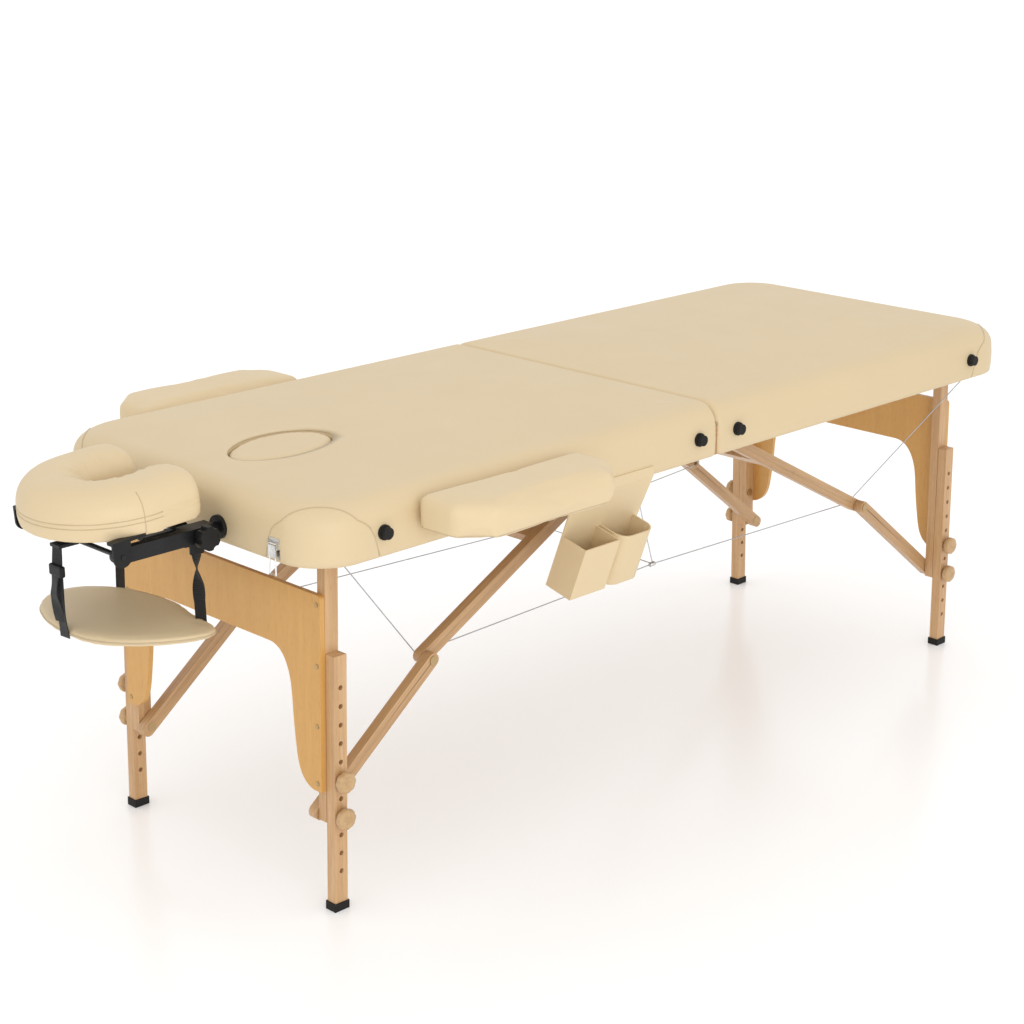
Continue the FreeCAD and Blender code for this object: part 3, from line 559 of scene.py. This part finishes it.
def inflate(piece, pressure, cap, voxel, shrink=0.0, frames=20):
    """Swells a closed pad as cloth under pressure, no point moving more than cap."""
    remesh = piece.modifiers.new("remesh", "REMESH")
    remesh.mode = "VOXEL"
    remesh.voxel_size = voxel
    apply_all(piece)
    mesh = piece.data
    mesh.update()
    normals = [v.normal.copy() for v in mesh.vertices]
    for vertex, normal in zip(mesh.vertices, normals):
        vertex.co -= normal * shrink
    start = np.array([v.co for v in mesh.vertices])
    cloth = piece.modifiers.new("cloth", "CLOTH")
    cloth.settings.use_pressure = True
    cloth.settings.uniform_pressure_force = pressure
    cloth.settings.quality = 5
    cloth.settings.mass = 0.4
    cloth.settings.tension_stiffness = 25
    cloth.settings.compression_stiffness = 25
    cloth.settings.shear_stiffness = 12
    cloth.settings.bending_stiffness = 1.5
    cloth.settings.effector_weights.gravity = 0
    cloth.collision_settings.use_collision = False
    cloth.point_cache.frame_end = frames
    for step in range(1, frames + 1):
        bpy.context.scene.frame_set(step)
    apply_all(piece)
    bpy.context.scene.frame_set(1)
    mesh = piece.data
    moved = np.array([v.co for v in mesh.vertices]) - start
    length = np.linalg.norm(moved, axis=1)
    share = np.minimum(1.0, cap / np.maximum(length, 1e-9))
    final = start + moved * share[:, None]
    mesh.vertices.foreach_set("co", final.astype(np.float32).ravel())
    mesh.update()


def smooth_and_divide(piece, material, levels=1, factor=0.5, rounds=4):
    soften = piece.modifiers.new("smooth", "SMOOTH")
    soften.factor = factor
    soften.iterations = rounds
    if levels:
        divide = piece.modifiers.new("divide", "SUBSURF")
        divide.levels = levels
        divide.render_levels = levels
    apply_all(piece)
    piece.data.materials.clear()
    piece.data.materials.append(material)
    piece.data.polygons.foreach_set("use_smooth", [True] * len(piece.data.polygons))


def reshape(piece, change):
    for vertex in piece.data.vertices:
        vertex.co = change(vertex.co.copy(), vertex.normal.copy())
    piece.data.update()


def slice_loops(piece, point, normal, keep=None):
    """The closed or open lines where a plane cuts a piece, as lists of points."""
    tool = bmesh.new()
    tool.from_mesh(piece.data)
    cut = bmesh.ops.bisect_plane(tool, geom=tool.verts[:] + tool.edges[:] + tool.faces[:], plane_co=point,
                                 plane_no=normal, dist=1e-6)
    edges = [g for g in cut["geom_cut"] if isinstance(g, bmesh.types.BMEdge)]
    links = {}
    for edge in edges:
        a, b = edge.verts
        links.setdefault(a, []).append(b)
        links.setdefault(b, []).append(a)
    loops, seen = [], set()
    for start in links:
        if start in seen:
            continue
        path, current, previous = [start], start, None
        seen.add(start)
        while True:
            nxt = next((v for v in links[current] if v is not previous and v not in seen), None)
            if nxt is None:
                break
            path.append(nxt)
            seen.add(nxt)
            previous, current = current, nxt
        loops.append([v.co.copy() for v in path])
    tool.free()
    if keep is not None:
        loops = [[p for p in loop if keep(p)] for loop in loops]
    return [loop for loop in loops if len(loop) > 8]


def evened(path, step, closed):
    """The path resampled to even steps."""
    pts = [Vector(p) for p in path]
    if closed:
        pts.append(pts[0])
    lengths = [0.0]
    for a, b in zip(pts, pts[1:]):
        lengths.append(lengths[-1] + (b - a).length)
    total = lengths[-1]
    count = max(4, int(total / step))
    out, j = [], 0
    for i in range(count if closed else count + 1):
        want = total * i / count
        while j < len(lengths) - 2 and lengths[j + 1] < want:
            j += 1
        span = max(1e-9, lengths[j + 1] - lengths[j])
        out.append(pts[j].lerp(pts[j + 1], (want - lengths[j]) / span))
    return out


def seam_round(piece, name, body, point, normal, radius=0.0010, closed=True, keep=None):
    loops = slice_loops(piece, point, normal, keep)
    if not loops:
        return None
    paths = [evened(loop, 0.004, closed) for loop in loops]
    made = tubes(name, paths, radius, SEAM, 6, closed)
    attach(made, body)
    return made


# armrests
for side_name, sign in (("near", -1), ("far", 1)):
    node_name = side_name + "_armrest"
    low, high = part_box(node_name)
    pad = copy_of(node_name, node_name + "_pad")
    inflate(pad, 2.5, 0.006, 0.006, shrink=0.003)
    smooth_and_divide(pad, SOFT_LEATHER, 1, 0.5, 3)
    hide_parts(node_name)
    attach(pad, node_name)
    seam_round(pad, node_name + "_low_seam", node_name, Vector((0, 0, low.z + 0.007)), Vector((0, 0, 1)))

# face plug
plug = copy_of("face_plug", "face_plug_pad")
inflate(plug, 1.5, 0.002, 0.004, shrink=0.0012)
smooth_and_divide(plug, LEATHER, 1, 0.5, 2)


def plug_crown(co, normal):
    x = abs(co.x - MID_X)
    lift = crown(x, co.y) if co.z > TOP_Z - 0.02 else 0.0
    reach = math.hypot((x + FACE_CENTRE.x) / FACE_A, (co.y - FACE_CENTRE.y) / FACE_B)
    return co + Vector((0, 0, lift - 0.002 * max(0.0, reach - 0.86) / 0.14))


reshape(plug, plug_crown)
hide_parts("face_plug")
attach(plug, "face_plug")

# cradle cushion
CRADLE_PIVOT = Vector(joint("cradle_tilt")["pos_m"])
CRADLE_LOW, CRADLE_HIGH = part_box("cradle_cushion")
TILT = math.radians(4.0)
CRADLE_TURN = (Matrix.Translation(CRADLE_PIVOT) @ Matrix.Rotation(-TILT, 4, "Y")
               @ Matrix.Translation(-CRADLE_PIVOT))
CRADLE_X = CRADLE_LOW.x + 0.1395
CRADLE_END = CRADLE_HIGH.x - 0.001
PAD_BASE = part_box("cradle_arms")[1].z + 0.0143
# the cradle cushion's section: (outward from the middle of its band, up from the platform)
SECTION = [(-0.048, 0.004), (-0.054, 0.014), (-0.0575, 0.030), (-0.055, 0.045), (-0.044, 0.058),
           (-0.028, 0.066), (-0.006, 0.0685), (0.017, 0.067), (0.034, 0.061), (0.046, 0.050),
           (0.0525, 0.036), (0.0545, 0.020), (0.0545, 0.004), (0.053, -0.006), (0.049, -0.009),
           (0.0455, -0.004), (0.043, 0.001), (0.015, 0.001), (-0.020, 0.001), (-0.042, 0.001)]
BAND = 0.0845
WELTS = (0.017, 0.024)


def rounded(points, per_side):
    """A closed smooth line through the points."""
    count = len(points)
    out = []
    for i in range(count):
        p0, p1, p2, p3 = (Vector(points[(i + k) % count]) for k in (-1, 0, 1, 2))
        for j in range(per_side):
            t = j / per_side
            out.append(0.5 * (2 * p1 + (p2 - p0) * t + (2 * p0 - 5 * p1 + 4 * p2 - p3) * t * t
                              + (3 * p1 - p0 - 3 * p2 + p3) * t * t * t))
    return out


def horseshoe_pad():
    """The cradle cushion: one soft section swept round a horseshoe, its two ends closed and rounded."""
    section = rounded(SECTION, 3)
    arm = CRADLE_END - CRADLE_X
    bend = math.pi * BAND
    total = 2 * arm + bend
    steps = 120
    rings = []
    for i in range(steps + 1):
        along = total * i / steps
        if along < arm:
            spot, out = Vector((CRADLE_END - along, -BAND, 0)), Vector((0, -1, 0))
        elif along < arm + bend:
            angle = -math.pi / 2 - (along - arm) / BAND
            out = Vector((math.cos(angle), math.sin(angle), 0))
            spot = Vector((CRADLE_X, 0, 0)) + out * BAND
        else:
            spot, out = Vector((CRADLE_X + (along - arm - bend), BAND, 0)), Vector((0, 1, 0))
        near_end = min(along, total - along)
        shut = 1.0 if near_end > 0.03 else math.sqrt(max(0.0, 1 - (1 - near_end / 0.03) ** 2.6))
        ring = []
        for across, height in section:
            width = across * (0.30 + 0.70 * shut)
            tall = 0.030 + (height - 0.030) * (0.42 + 0.58 * shut)
            ring.append(spot + out * width + Vector((0, 0, PAD_BASE + tall)))
        rings.append(ring)
    count = len(section)
    verts = [CRADLE_TURN @ p for ring in rings for p in ring]
    faces = grid_faces(len(rings), count)
    faces.append(tuple(range(count))[::-1])
    faces.append(tuple((len(rings) - 1) * count + u for u in range(count)))
    made = add_mesh("cradle_cushion_pad", verts, faces, SOFT_LEATHER)
    tool = bmesh.new()
    tool.from_mesh(made.data)
    bmesh.ops.recalc_face_normals(tool, faces=tool.faces)
    tool.to_mesh(made.data)
    tool.free()
    return made


cradle = horseshoe_pad()
inflate(cradle, 2.2, 0.0030, 0.0052, shrink=0.0012)
smooth_and_divide(cradle, SOFT_LEATHER, 1, 0.5, 3)
CRADLE_MID = Vector((CRADLE_X, 0, 0))


def pucker(co, normal):
    """Gathers round the inner edge, and a shallow channel for each welt outside."""
    flat = CRADLE_TURN.inverted() @ co
    height = flat.z - PAD_BASE
    along = flat.x - CRADLE_MID.x
    radius = math.hypot(min(along, 0.0), flat.y)
    angle = math.atan2(flat.y, along) if along < 0 else math.copysign(math.pi / 2 - along / BAND, flat.y)
    band = math.exp(-((radius - 0.046) / 0.013) ** 2) * max(0.0, min(1.0, (height - 0.025) / 0.02))
    ripple = 0.6 * math.sin(angle * 19 + 1.7 * math.sin(angle * 5)) + 0.4 * math.sin(angle * 37 + 2)
    lobes = math.exp(-((radius - 0.075) / 0.03) ** 2) * max(0.0, min(1.0, (height - 0.03) / 0.02))
    co = co + normal * (0.0016 * band * ripple + 0.0010 * lobes * math.sin(angle * 6 + 1.1))
    for welt in WELTS:
        co = co - normal * 0.0011 * math.exp(-((height - welt) / 0.0018) ** 2) * (1 if radius > 0.125 else 0)
    return co


reshape(cradle, pucker)
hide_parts("cradle_cushion")
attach(cradle, "cradle_head")
CRADLE_UP = (CRADLE_TURN.to_3x3() @ Vector((0, 0, 1))).normalized()




def on_round_outside(p):
    """Whether a point is on the cushion's outer wall, this side of the upright seam."""
    return (CRADLE_TURN.inverted() @ p).x < CRADLE_X + 0.006 and math.hypot(p.x - CRADLE_X, p.y) > 0.1


for index, height in enumerate(WELTS):
    base = CRADLE_TURN @ Vector((CRADLE_MID.x, 0, PAD_BASE + height))
    seam_round(cradle, f"cradle_welt_{index + 1}", "cradle_head", base, CRADLE_UP, 0.0008, False,
               keep=on_round_outside)
for sign, tag in ((-1, "near"), (1, "far")):
    at = Vector((CRADLE_MID.x + 0.004, 0, 0))
    seam_round(cradle, f"cradle_{tag}_side_seam", "cradle_head", at, Vector((1, 0, 0.05)), 0.0008, False,
               keep=lambda p, s=sign: p.y * s > 0.115)

# arm shelf
shelf = copy_of("arm_shelf", "arm_shelf_pad")
inflate(shelf, 1.2, 0.003, 0.0045, shrink=0.001)
smooth_and_divide(shelf, LEATHER, 1, 0.5, 3)
SHELF_LOW, SHELF_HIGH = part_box("arm_shelf")


def leaf(co, normal):
    """Draws the near end out to a leaf's tip, toward the table."""
    reach = max(0.0, (SHELF_LOW.y + 0.115 - co.y) / 0.115)
    middle = (SHELF_LOW.x + SHELF_HIGH.x) / 2
    return Vector((co.x + 0.050 * reach ** 2 - 0.12 * reach * (co.x - middle), co.y - 0.004 * reach, co.z))


reshape(shelf, leaf)
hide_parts("arm_shelf")
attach(shelf, "cradle_arms")
seam_round(shelf, "arm_shelf_piping", "cradle_arms", Vector((0, 0, (SHELF_LOW.z + SHELF_HIGH.z) / 2)),
           Vector((0, 0, 1)), 0.0016)


# ---- bottle holder ---------------------------------------------------------

HOLDER_LOW, HOLDER_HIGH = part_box("bottle_holder")
holder = copy_of("bottle_holder", "bottle_holder_fabric")
soften = holder.modifiers.new("bevel", "BEVEL")
soften.width = 0.0009
soften.segments = 2
soften.limit_method = "ANGLE"
soften.angle_limit = math.radians(40)
holder.data.materials.clear()
holder.data.materials.append(SOFT_LEATHER)
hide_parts("bottle_holder")
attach(holder, "left_half")


# ---- cables ----------------------------------------------------------------

KNEE = {s: (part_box(s + "_knee_bolts")[0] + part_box(s + "_knee_bolts")[1]) / 2 for s in ("left", "right")}
NEAR_NODE = Vector((MID_X, -0.195, 0.360))
FAR_NODE = Vector((MID_X, 0.095, 0.367))
CABLE_Y = 0.1975


def straight(a, b, count=30):
    return [a.lerp(b, i / count) for i in range(count + 1)]


def blended_cable(name, start, end):
    piece = tubes(name, [straight(start, end)], 0.0010, WIRE, 8)
    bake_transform(piece)
    return piece


for side, sign in (("left", -1), ("right", 1)):
    knee = KNEE[side]
    for which, ysign, middle in (("near", -1, NEAR_NODE), ("far", 1, FAR_NODE)):
        hold = Vector((knee.x, ysign * CABLE_Y, knee.z))
        corner = Vector((MID_X + sign * 0.838, ysign * 0.304, UNDER_Z))
        inner = middle + Vector((sign * 0.004, 0, 0))
        blended_cable(f"{side}_{which}_corner_cable", corner, hold)
        blended_cable(f"{side}_{which}_side_cable", inner, hold)

middle_paths = [straight(NEAR_NODE, FAR_NODE)]
for middle, y in ((NEAR_NODE, -0.150), (FAR_NODE, 0.150)):
    middle_paths.append(straight(middle, Vector((MID_X - 0.032, y, UNDER_Z))))
middle_cables = tubes("middle_cables", middle_paths, 0.0010, WIRE, 8)
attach(middle_cables, "left_half")
knots = tubes("middle_knots", [straight(m - Vector((0.007, 0, 0)), m + Vector((0.004, 0, 0)), 4)
                               for m in (NEAR_NODE, FAR_NODE)], 0.0042, STEEL, 12)
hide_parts("left_cables", "right_cables")
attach(knots, "left_half")


# ---- shelf straps ----------------------------------------------------------

STRAP_LOW, STRAP_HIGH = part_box("shelf_straps")


def ribbon(name, points, widths, twist, thickness=0.0016):
    """A strap along points; at each, half width vector given by angle twist about the strap's own line."""
    verts, faces = [], []
    count = len(points)
    for i, p in enumerate(points):
        before, after = points[max(0, i - 1)], points[min(count - 1, i + 1)]
        way = (after - before).normalized()
        angle = twist[i]
        wide = Vector((math.cos(angle), math.sin(angle), 0))
        wide = (wide - way * wide.dot(way)).normalized()
        flat = way.cross(wide)
        w, t = widths[i] / 2, thickness / 2
        for a, b in ((-1, -1), (-1, 1), (1, 1), (1, -1)):
            verts.append(p + wide * w * a + flat * t * b)
    for i in range(count - 1):
        for s in range(4):
            n = (s + 1) % 4
            faces.append((i * 4 + s, i * 4 + n, i * 4 + 4 + n, i * 4 + 4 + s))
    faces.append((0, 1, 2, 3)[::-1])
    faces.append(tuple((count - 1) * 4 + s for s in range(4)))
    return add_mesh(name, verts, faces, WEBBING, smooth=False)


def strap_line(points, count=40):
    """Even points along a bent line given by a few stops."""
    return evened(points, sum((b - a).length for a, b in zip(points, points[1:])) / count, False)


def rounded_block(name, low, high, radius, material):
    tool = bmesh.new()
    bmesh.ops.create_cube(tool, size=1.0)
    size = Vector(high) - Vector(low)
    middle = (Vector(high) + Vector(low)) / 2
    for vertex in tool.verts:
        vertex.co = Vector((vertex.co.x * size.x, vertex.co.y * size.y, vertex.co.z * size.z)) + middle
    bmesh.ops.bevel(tool, geom=tool.verts[:] + tool.edges[:], offset=radius, segments=3, affect="EDGES",
                    profile=0.5)
    mesh = bpy.data.meshes.new(name)
    tool.to_mesh(mesh)
    tool.free()
    made = bpy.data.objects.new(name, mesh)
    bpy.context.scene.collection.objects.link(made)
    mesh.materials.append(material)
    return made


def shelf_straps():
    """A doubled front strap with its slider, a twisted near strap and a plain far one."""
    top = STRAP_HIGH.z
    front_x = STRAP_LOW.x + 0.0045
    shelf_z = SHELF_LOW.z - 0.001
    pieces = []
    line = strap_line([Vector((front_x + 0.004, 0.004, top)), Vector((front_x + 0.001, 0.003, top - 0.035)),
                       Vector((front_x, -0.003, SHELF_HIGH.z + 0.02)),
                       Vector((front_x + 0.003, -0.004, shelf_z))])
    swing = [math.pi / 2 + 0.10 * math.sin(i / 6.0) for i in range(len(line))]
    pieces.append(ribbon("strap_front", line, [0.023] * len(line), swing))
    line = strap_line([Vector((front_x - 0.003, 0.002, top - 0.04)),
                       Vector((front_x - 0.007, 0.004, top - 0.075)),
                       Vector((front_x - 0.004, 0.000, SHELF_HIGH.z + 0.03)),
                       Vector((front_x - 0.0015, -0.001, SHELF_HIGH.z + 0.012))])
    swing = [math.pi / 2 - 0.22 * math.sin(i / 7.0) for i in range(len(line))]
    pieces.append(ribbon("strap_front_tail", line, [0.021] * len(line), swing))
    x = MID_X - 0.951
    line = strap_line([Vector((x, -0.102, top - 0.008)), Vector((x - 0.002, -0.106, top - 0.07)),
                       Vector((x - 0.006, -0.1155, shelf_z))])
    turn = [math.radians(10 + 165 * min(1.0, max(0.0, (i / len(line) - 0.18) / 0.5)))
            for i in range(len(line))]
    pieces.append(ribbon("strap_near", line, [0.019] * len(line), turn))
    line = strap_line([Vector((x, 0.102, top - 0.008)), Vector((x, 0.1075, shelf_z))])
    pieces.append(ribbon("strap_far", line, [0.020] * len(line), [0.25] * len(line)))
    for piece in pieces:
        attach(piece, "cradle_arms")
    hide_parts("shelf_straps")
    slider = rounded_block("strap_front_slider", (front_x - 0.0055, -0.0155, top - 0.046),
                           (front_x + 0.004, 0.0175, top - 0.028), 0.0030, PLASTIC)
    near_slider = rounded_block("strap_near_slider", (x - 0.012, -0.1085, top - 0.030),
                                (x + 0.012, -0.099, top - 0.010), 0.0030, PLASTIC)
    for piece in (slider, near_slider):
        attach(piece, "cradle_arms")


shelf_straps()


# ---- leg extensions and knobs ----------------------------------------------

HOLE_PITCH = 0.031
HOLES = 11
FIRST_HOLE = 0.399 - 5 * HOLE_PITCH
EXTENSION_REACH = (0.191, 0.617)


def extension(side, which):
    """A square-edged sliding bar, bored right through at every step."""
    name = f"{side}_{which}_extension"
    low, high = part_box(name)
    pivot = Vector(joint(side + "_leg_fold")["pos_m"])
    down = -Vector(joint(f"{side}_{which}_leg_slide")["axis"])
    if down.z > 0:
        down = -down
    y = (low.y + high.y) / 2
    wide = down.cross(Vector((0, 1, 0))).normalized()
    turn = Matrix((wide, Vector((0, 1, 0)), -down)).transposed().to_4x4()
    tool = bmesh.new()
    bmesh.ops.create_cube(tool, size=1.0)
    length = EXTENSION_REACH[1] - EXTENSION_REACH[0]
    for vertex in tool.verts:
        vertex.co = Vector((vertex.co.x * 0.026, vertex.co.y * (high.y - low.y), vertex.co.z * length))
    bmesh.ops.bevel(tool, geom=tool.verts[:] + tool.edges[:], offset=0.0011, segments=2, affect="EDGES",
                    profile=0.5)
    middle = (EXTENSION_REACH[0] + EXTENSION_REACH[1]) / 2
    place = Matrix.Translation(Vector((pivot.x, y, pivot.z)) + down * middle) @ turn
    tool.transform(place)
    mesh = bpy.data.meshes.new(name + "_bar")
    tool.to_mesh(mesh)
    tool.free()
    bar = bpy.data.objects.new(name + "_bar", mesh)
    bpy.context.scene.collection.objects.link(bar)
    cutter_verts, cutter_faces = [], []
    for index in range(HOLES):
        at = Vector((pivot.x, y, pivot.z)) + down * (FIRST_HOLE + index * HOLE_PITCH)
        v, f = tube_mesh([at - Vector((0, 0.03, 0)), at + Vector((0, 0.03, 0))], 0.0042, 20)
        cutter_faces += [tuple(i + len(cutter_verts) for i in face) for face in f]
        cutter_verts += v
    cutter = add_mesh(name + "_cutter", cutter_verts, cutter_faces, PLASTIC, False)
    cut = bar.modifiers.new("holes", "BOOLEAN")
    cut.object = cutter
    cut.operation = "DIFFERENCE"
    cut.solver = "EXACT"
    apply_all(bar)
    bpy.data.objects.remove(cutter)
    bar.data.materials.clear()
    bar.data.materials.append(LEG_WOOD)
    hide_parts(name)
    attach(bar, name)


def knob(name):
    """A turned wooden knob with a softly scalloped rim and a domed face."""
    low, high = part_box(name)
    centre = (low + high) / 2
    out = 1 if centre.y > 0 else -1
    base = low.y if out > 0 else high.y
    rows = [(0.0, 0.0), (0.0095, 0.0), (0.0098, 0.004), (0.0125, 0.0052), (0.0165, 0.0060),
            (0.0176, 0.0080), (0.0178, 0.0125), (0.0170, 0.0155), (0.0148, 0.0173), (0.0100, 0.0180),
            (0.0052, 0.0183), (0.0046, 0.0176), (0.0, 0.0174)]
    sides = 64
    verts, faces = [], []
    for radius, reach in rows:
        for i in range(sides):
            angle = 2 * math.pi * i / sides
            dent = (0.5 - 0.5 * math.cos(8 * angle)) ** 1.5
            scallop = 1 - 0.055 * max(0.0, (radius - 0.012) / 0.0055) * dent
            verts.append(Vector((centre.x + radius * scallop * math.cos(angle), base + out * reach,
                                 centre.z + radius * scallop * math.sin(angle))))
    faces = grid_faces(len(rows), sides)
    made = add_mesh(name + "_turned", verts, faces, KNOB_WOOD)
    tool = bmesh.new()
    tool.from_mesh(made.data)
    bmesh.ops.remove_doubles(tool, verts=tool.verts, dist=0.00001)
    bmesh.ops.recalc_face_normals(tool, faces=tool.faces)
    tool.to_mesh(made.data)
    tool.free()
    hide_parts(name)
    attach(made, name)


for side in ("left", "right"):
    for which in ("near", "far"):
        extension(side, which)
        knob(f"{side}_{which}_upper_knob")
        knob(f"{side}_{which}_lower_knob")


# ---- CAD nodes that keep their shape ---------------------------------------

for side in ("left", "right"):
    dress(side + "_frame", RAIL_WOOD_X, 0.001)
    dress(side + "_deck", DECK_WOOD)
    dress(side + "_bumpers", RUBBER, 0.0008)
    dress(side + "_hardware", STEEL)
    dress(side + "_carry_handle", WEBBING)
    dress(side + "_upper_legs", LEG_WOOD, 0.0015)
    dress(side + "_end_panel", PANEL_WOOD)
    dress(side + "_leg_hardware", BRASS)
    dress(side + "_knee_bolts", BRASS, 0.0004)
    top_pin = Vector(joint(side + "_upper_strut_turn")["pos_m"])
    foot_pin = Vector(joint(side + "_lower_strut_turn")["pos_m"])
    dress(side + "_upper_brace", strut_wood(side + "_upper_strut_beech", KNEE[side], top_pin), 0.0015)
    dress(side + "_lower_struts", strut_wood(side + "_lower_strut_beech", foot_pin, KNEE[side]), 0.0015)
    for which in ("near", "far"):
        dress(f"{side}_{which}_foot_cap", RUBBER, 0.0008)
for name in ("near_latch_lever", "far_latch_lever"):
    dress(name, CHROME)
for name in ("near_armrest_posts", "far_armrest_posts"):
    dress(name, STEEL)
dress("cradle_sockets", PLASTIC, 0.001)
dress("cradle_arms", BLACK_METAL, 0.0015)
dress("cradle_platform", PLASTIC, 0.0006)
dress("cradle_lock_knob", PLASTIC, 0.0015)
dress("cradle_cam_lever", PLASTIC, 0.0010)


# ---- stage, light and camera -----------------------------------------------


def floor():
    size = 30.0
    white, _, shader = start_material("studio_white", (0.95, 0.95, 0.95), 0.20, specular=0.40)
    shader.inputs["Emission Color"].default_value = (1, 1, 1, 1)
    shader.inputs["Emission Strength"].default_value = 0.14
    made = add_mesh("studio_floor", [(-size, -size, 0), (size, -size, 0), (size, size, 0), (-size, size, 0)],
                    [(0, 1, 2, 3)], white, False)


def area_light(name, place, aim, size, power, colour=(1, 1, 1)):
    data = bpy.data.lights.new(name, "AREA")
    data.shape = "RECTANGLE"
    data.size, data.size_y = size
    data.energy = power
    data.color = colour
    made = bpy.data.objects.new(name, data)
    made.location = place
    made.rotation_euler = (Vector(aim) - Vector(place)).to_track_quat("-Z", "Y").to_euler()
    bpy.context.scene.collection.objects.link(made)


floor()
area_light("key_softbox", (-2.4, -4.2, 1.5), (0, 0, 0.5), (3.0, 1.8), 46)
world = bpy.data.worlds.new("studio_world")
world.use_nodes = True
world.node_tree.nodes["Background"].inputs["Color"].default_value = (1.0, 1.0, 1.0, 1)
world.node_tree.nodes["Background"].inputs["Strength"].default_value = 1.0
bpy.context.scene.world = world
bpy.context.scene.view_settings.view_transform = "Standard"

camera_data = bpy.data.cameras.new("camera")
camera_data.lens = 75.03
camera_data.sensor_width = 36.0
camera_data.dof.use_dof = False
camera = bpy.data.objects.new("camera", camera_data)
camera.location = (MID_X - 2.788, -2.632, 1.632)
camera.rotation_euler = (math.radians(72.389), math.radians(0.0), math.radians(-44.859))
bpy.context.scene.collection.objects.link(camera)
bpy.context.scene.camera = camera
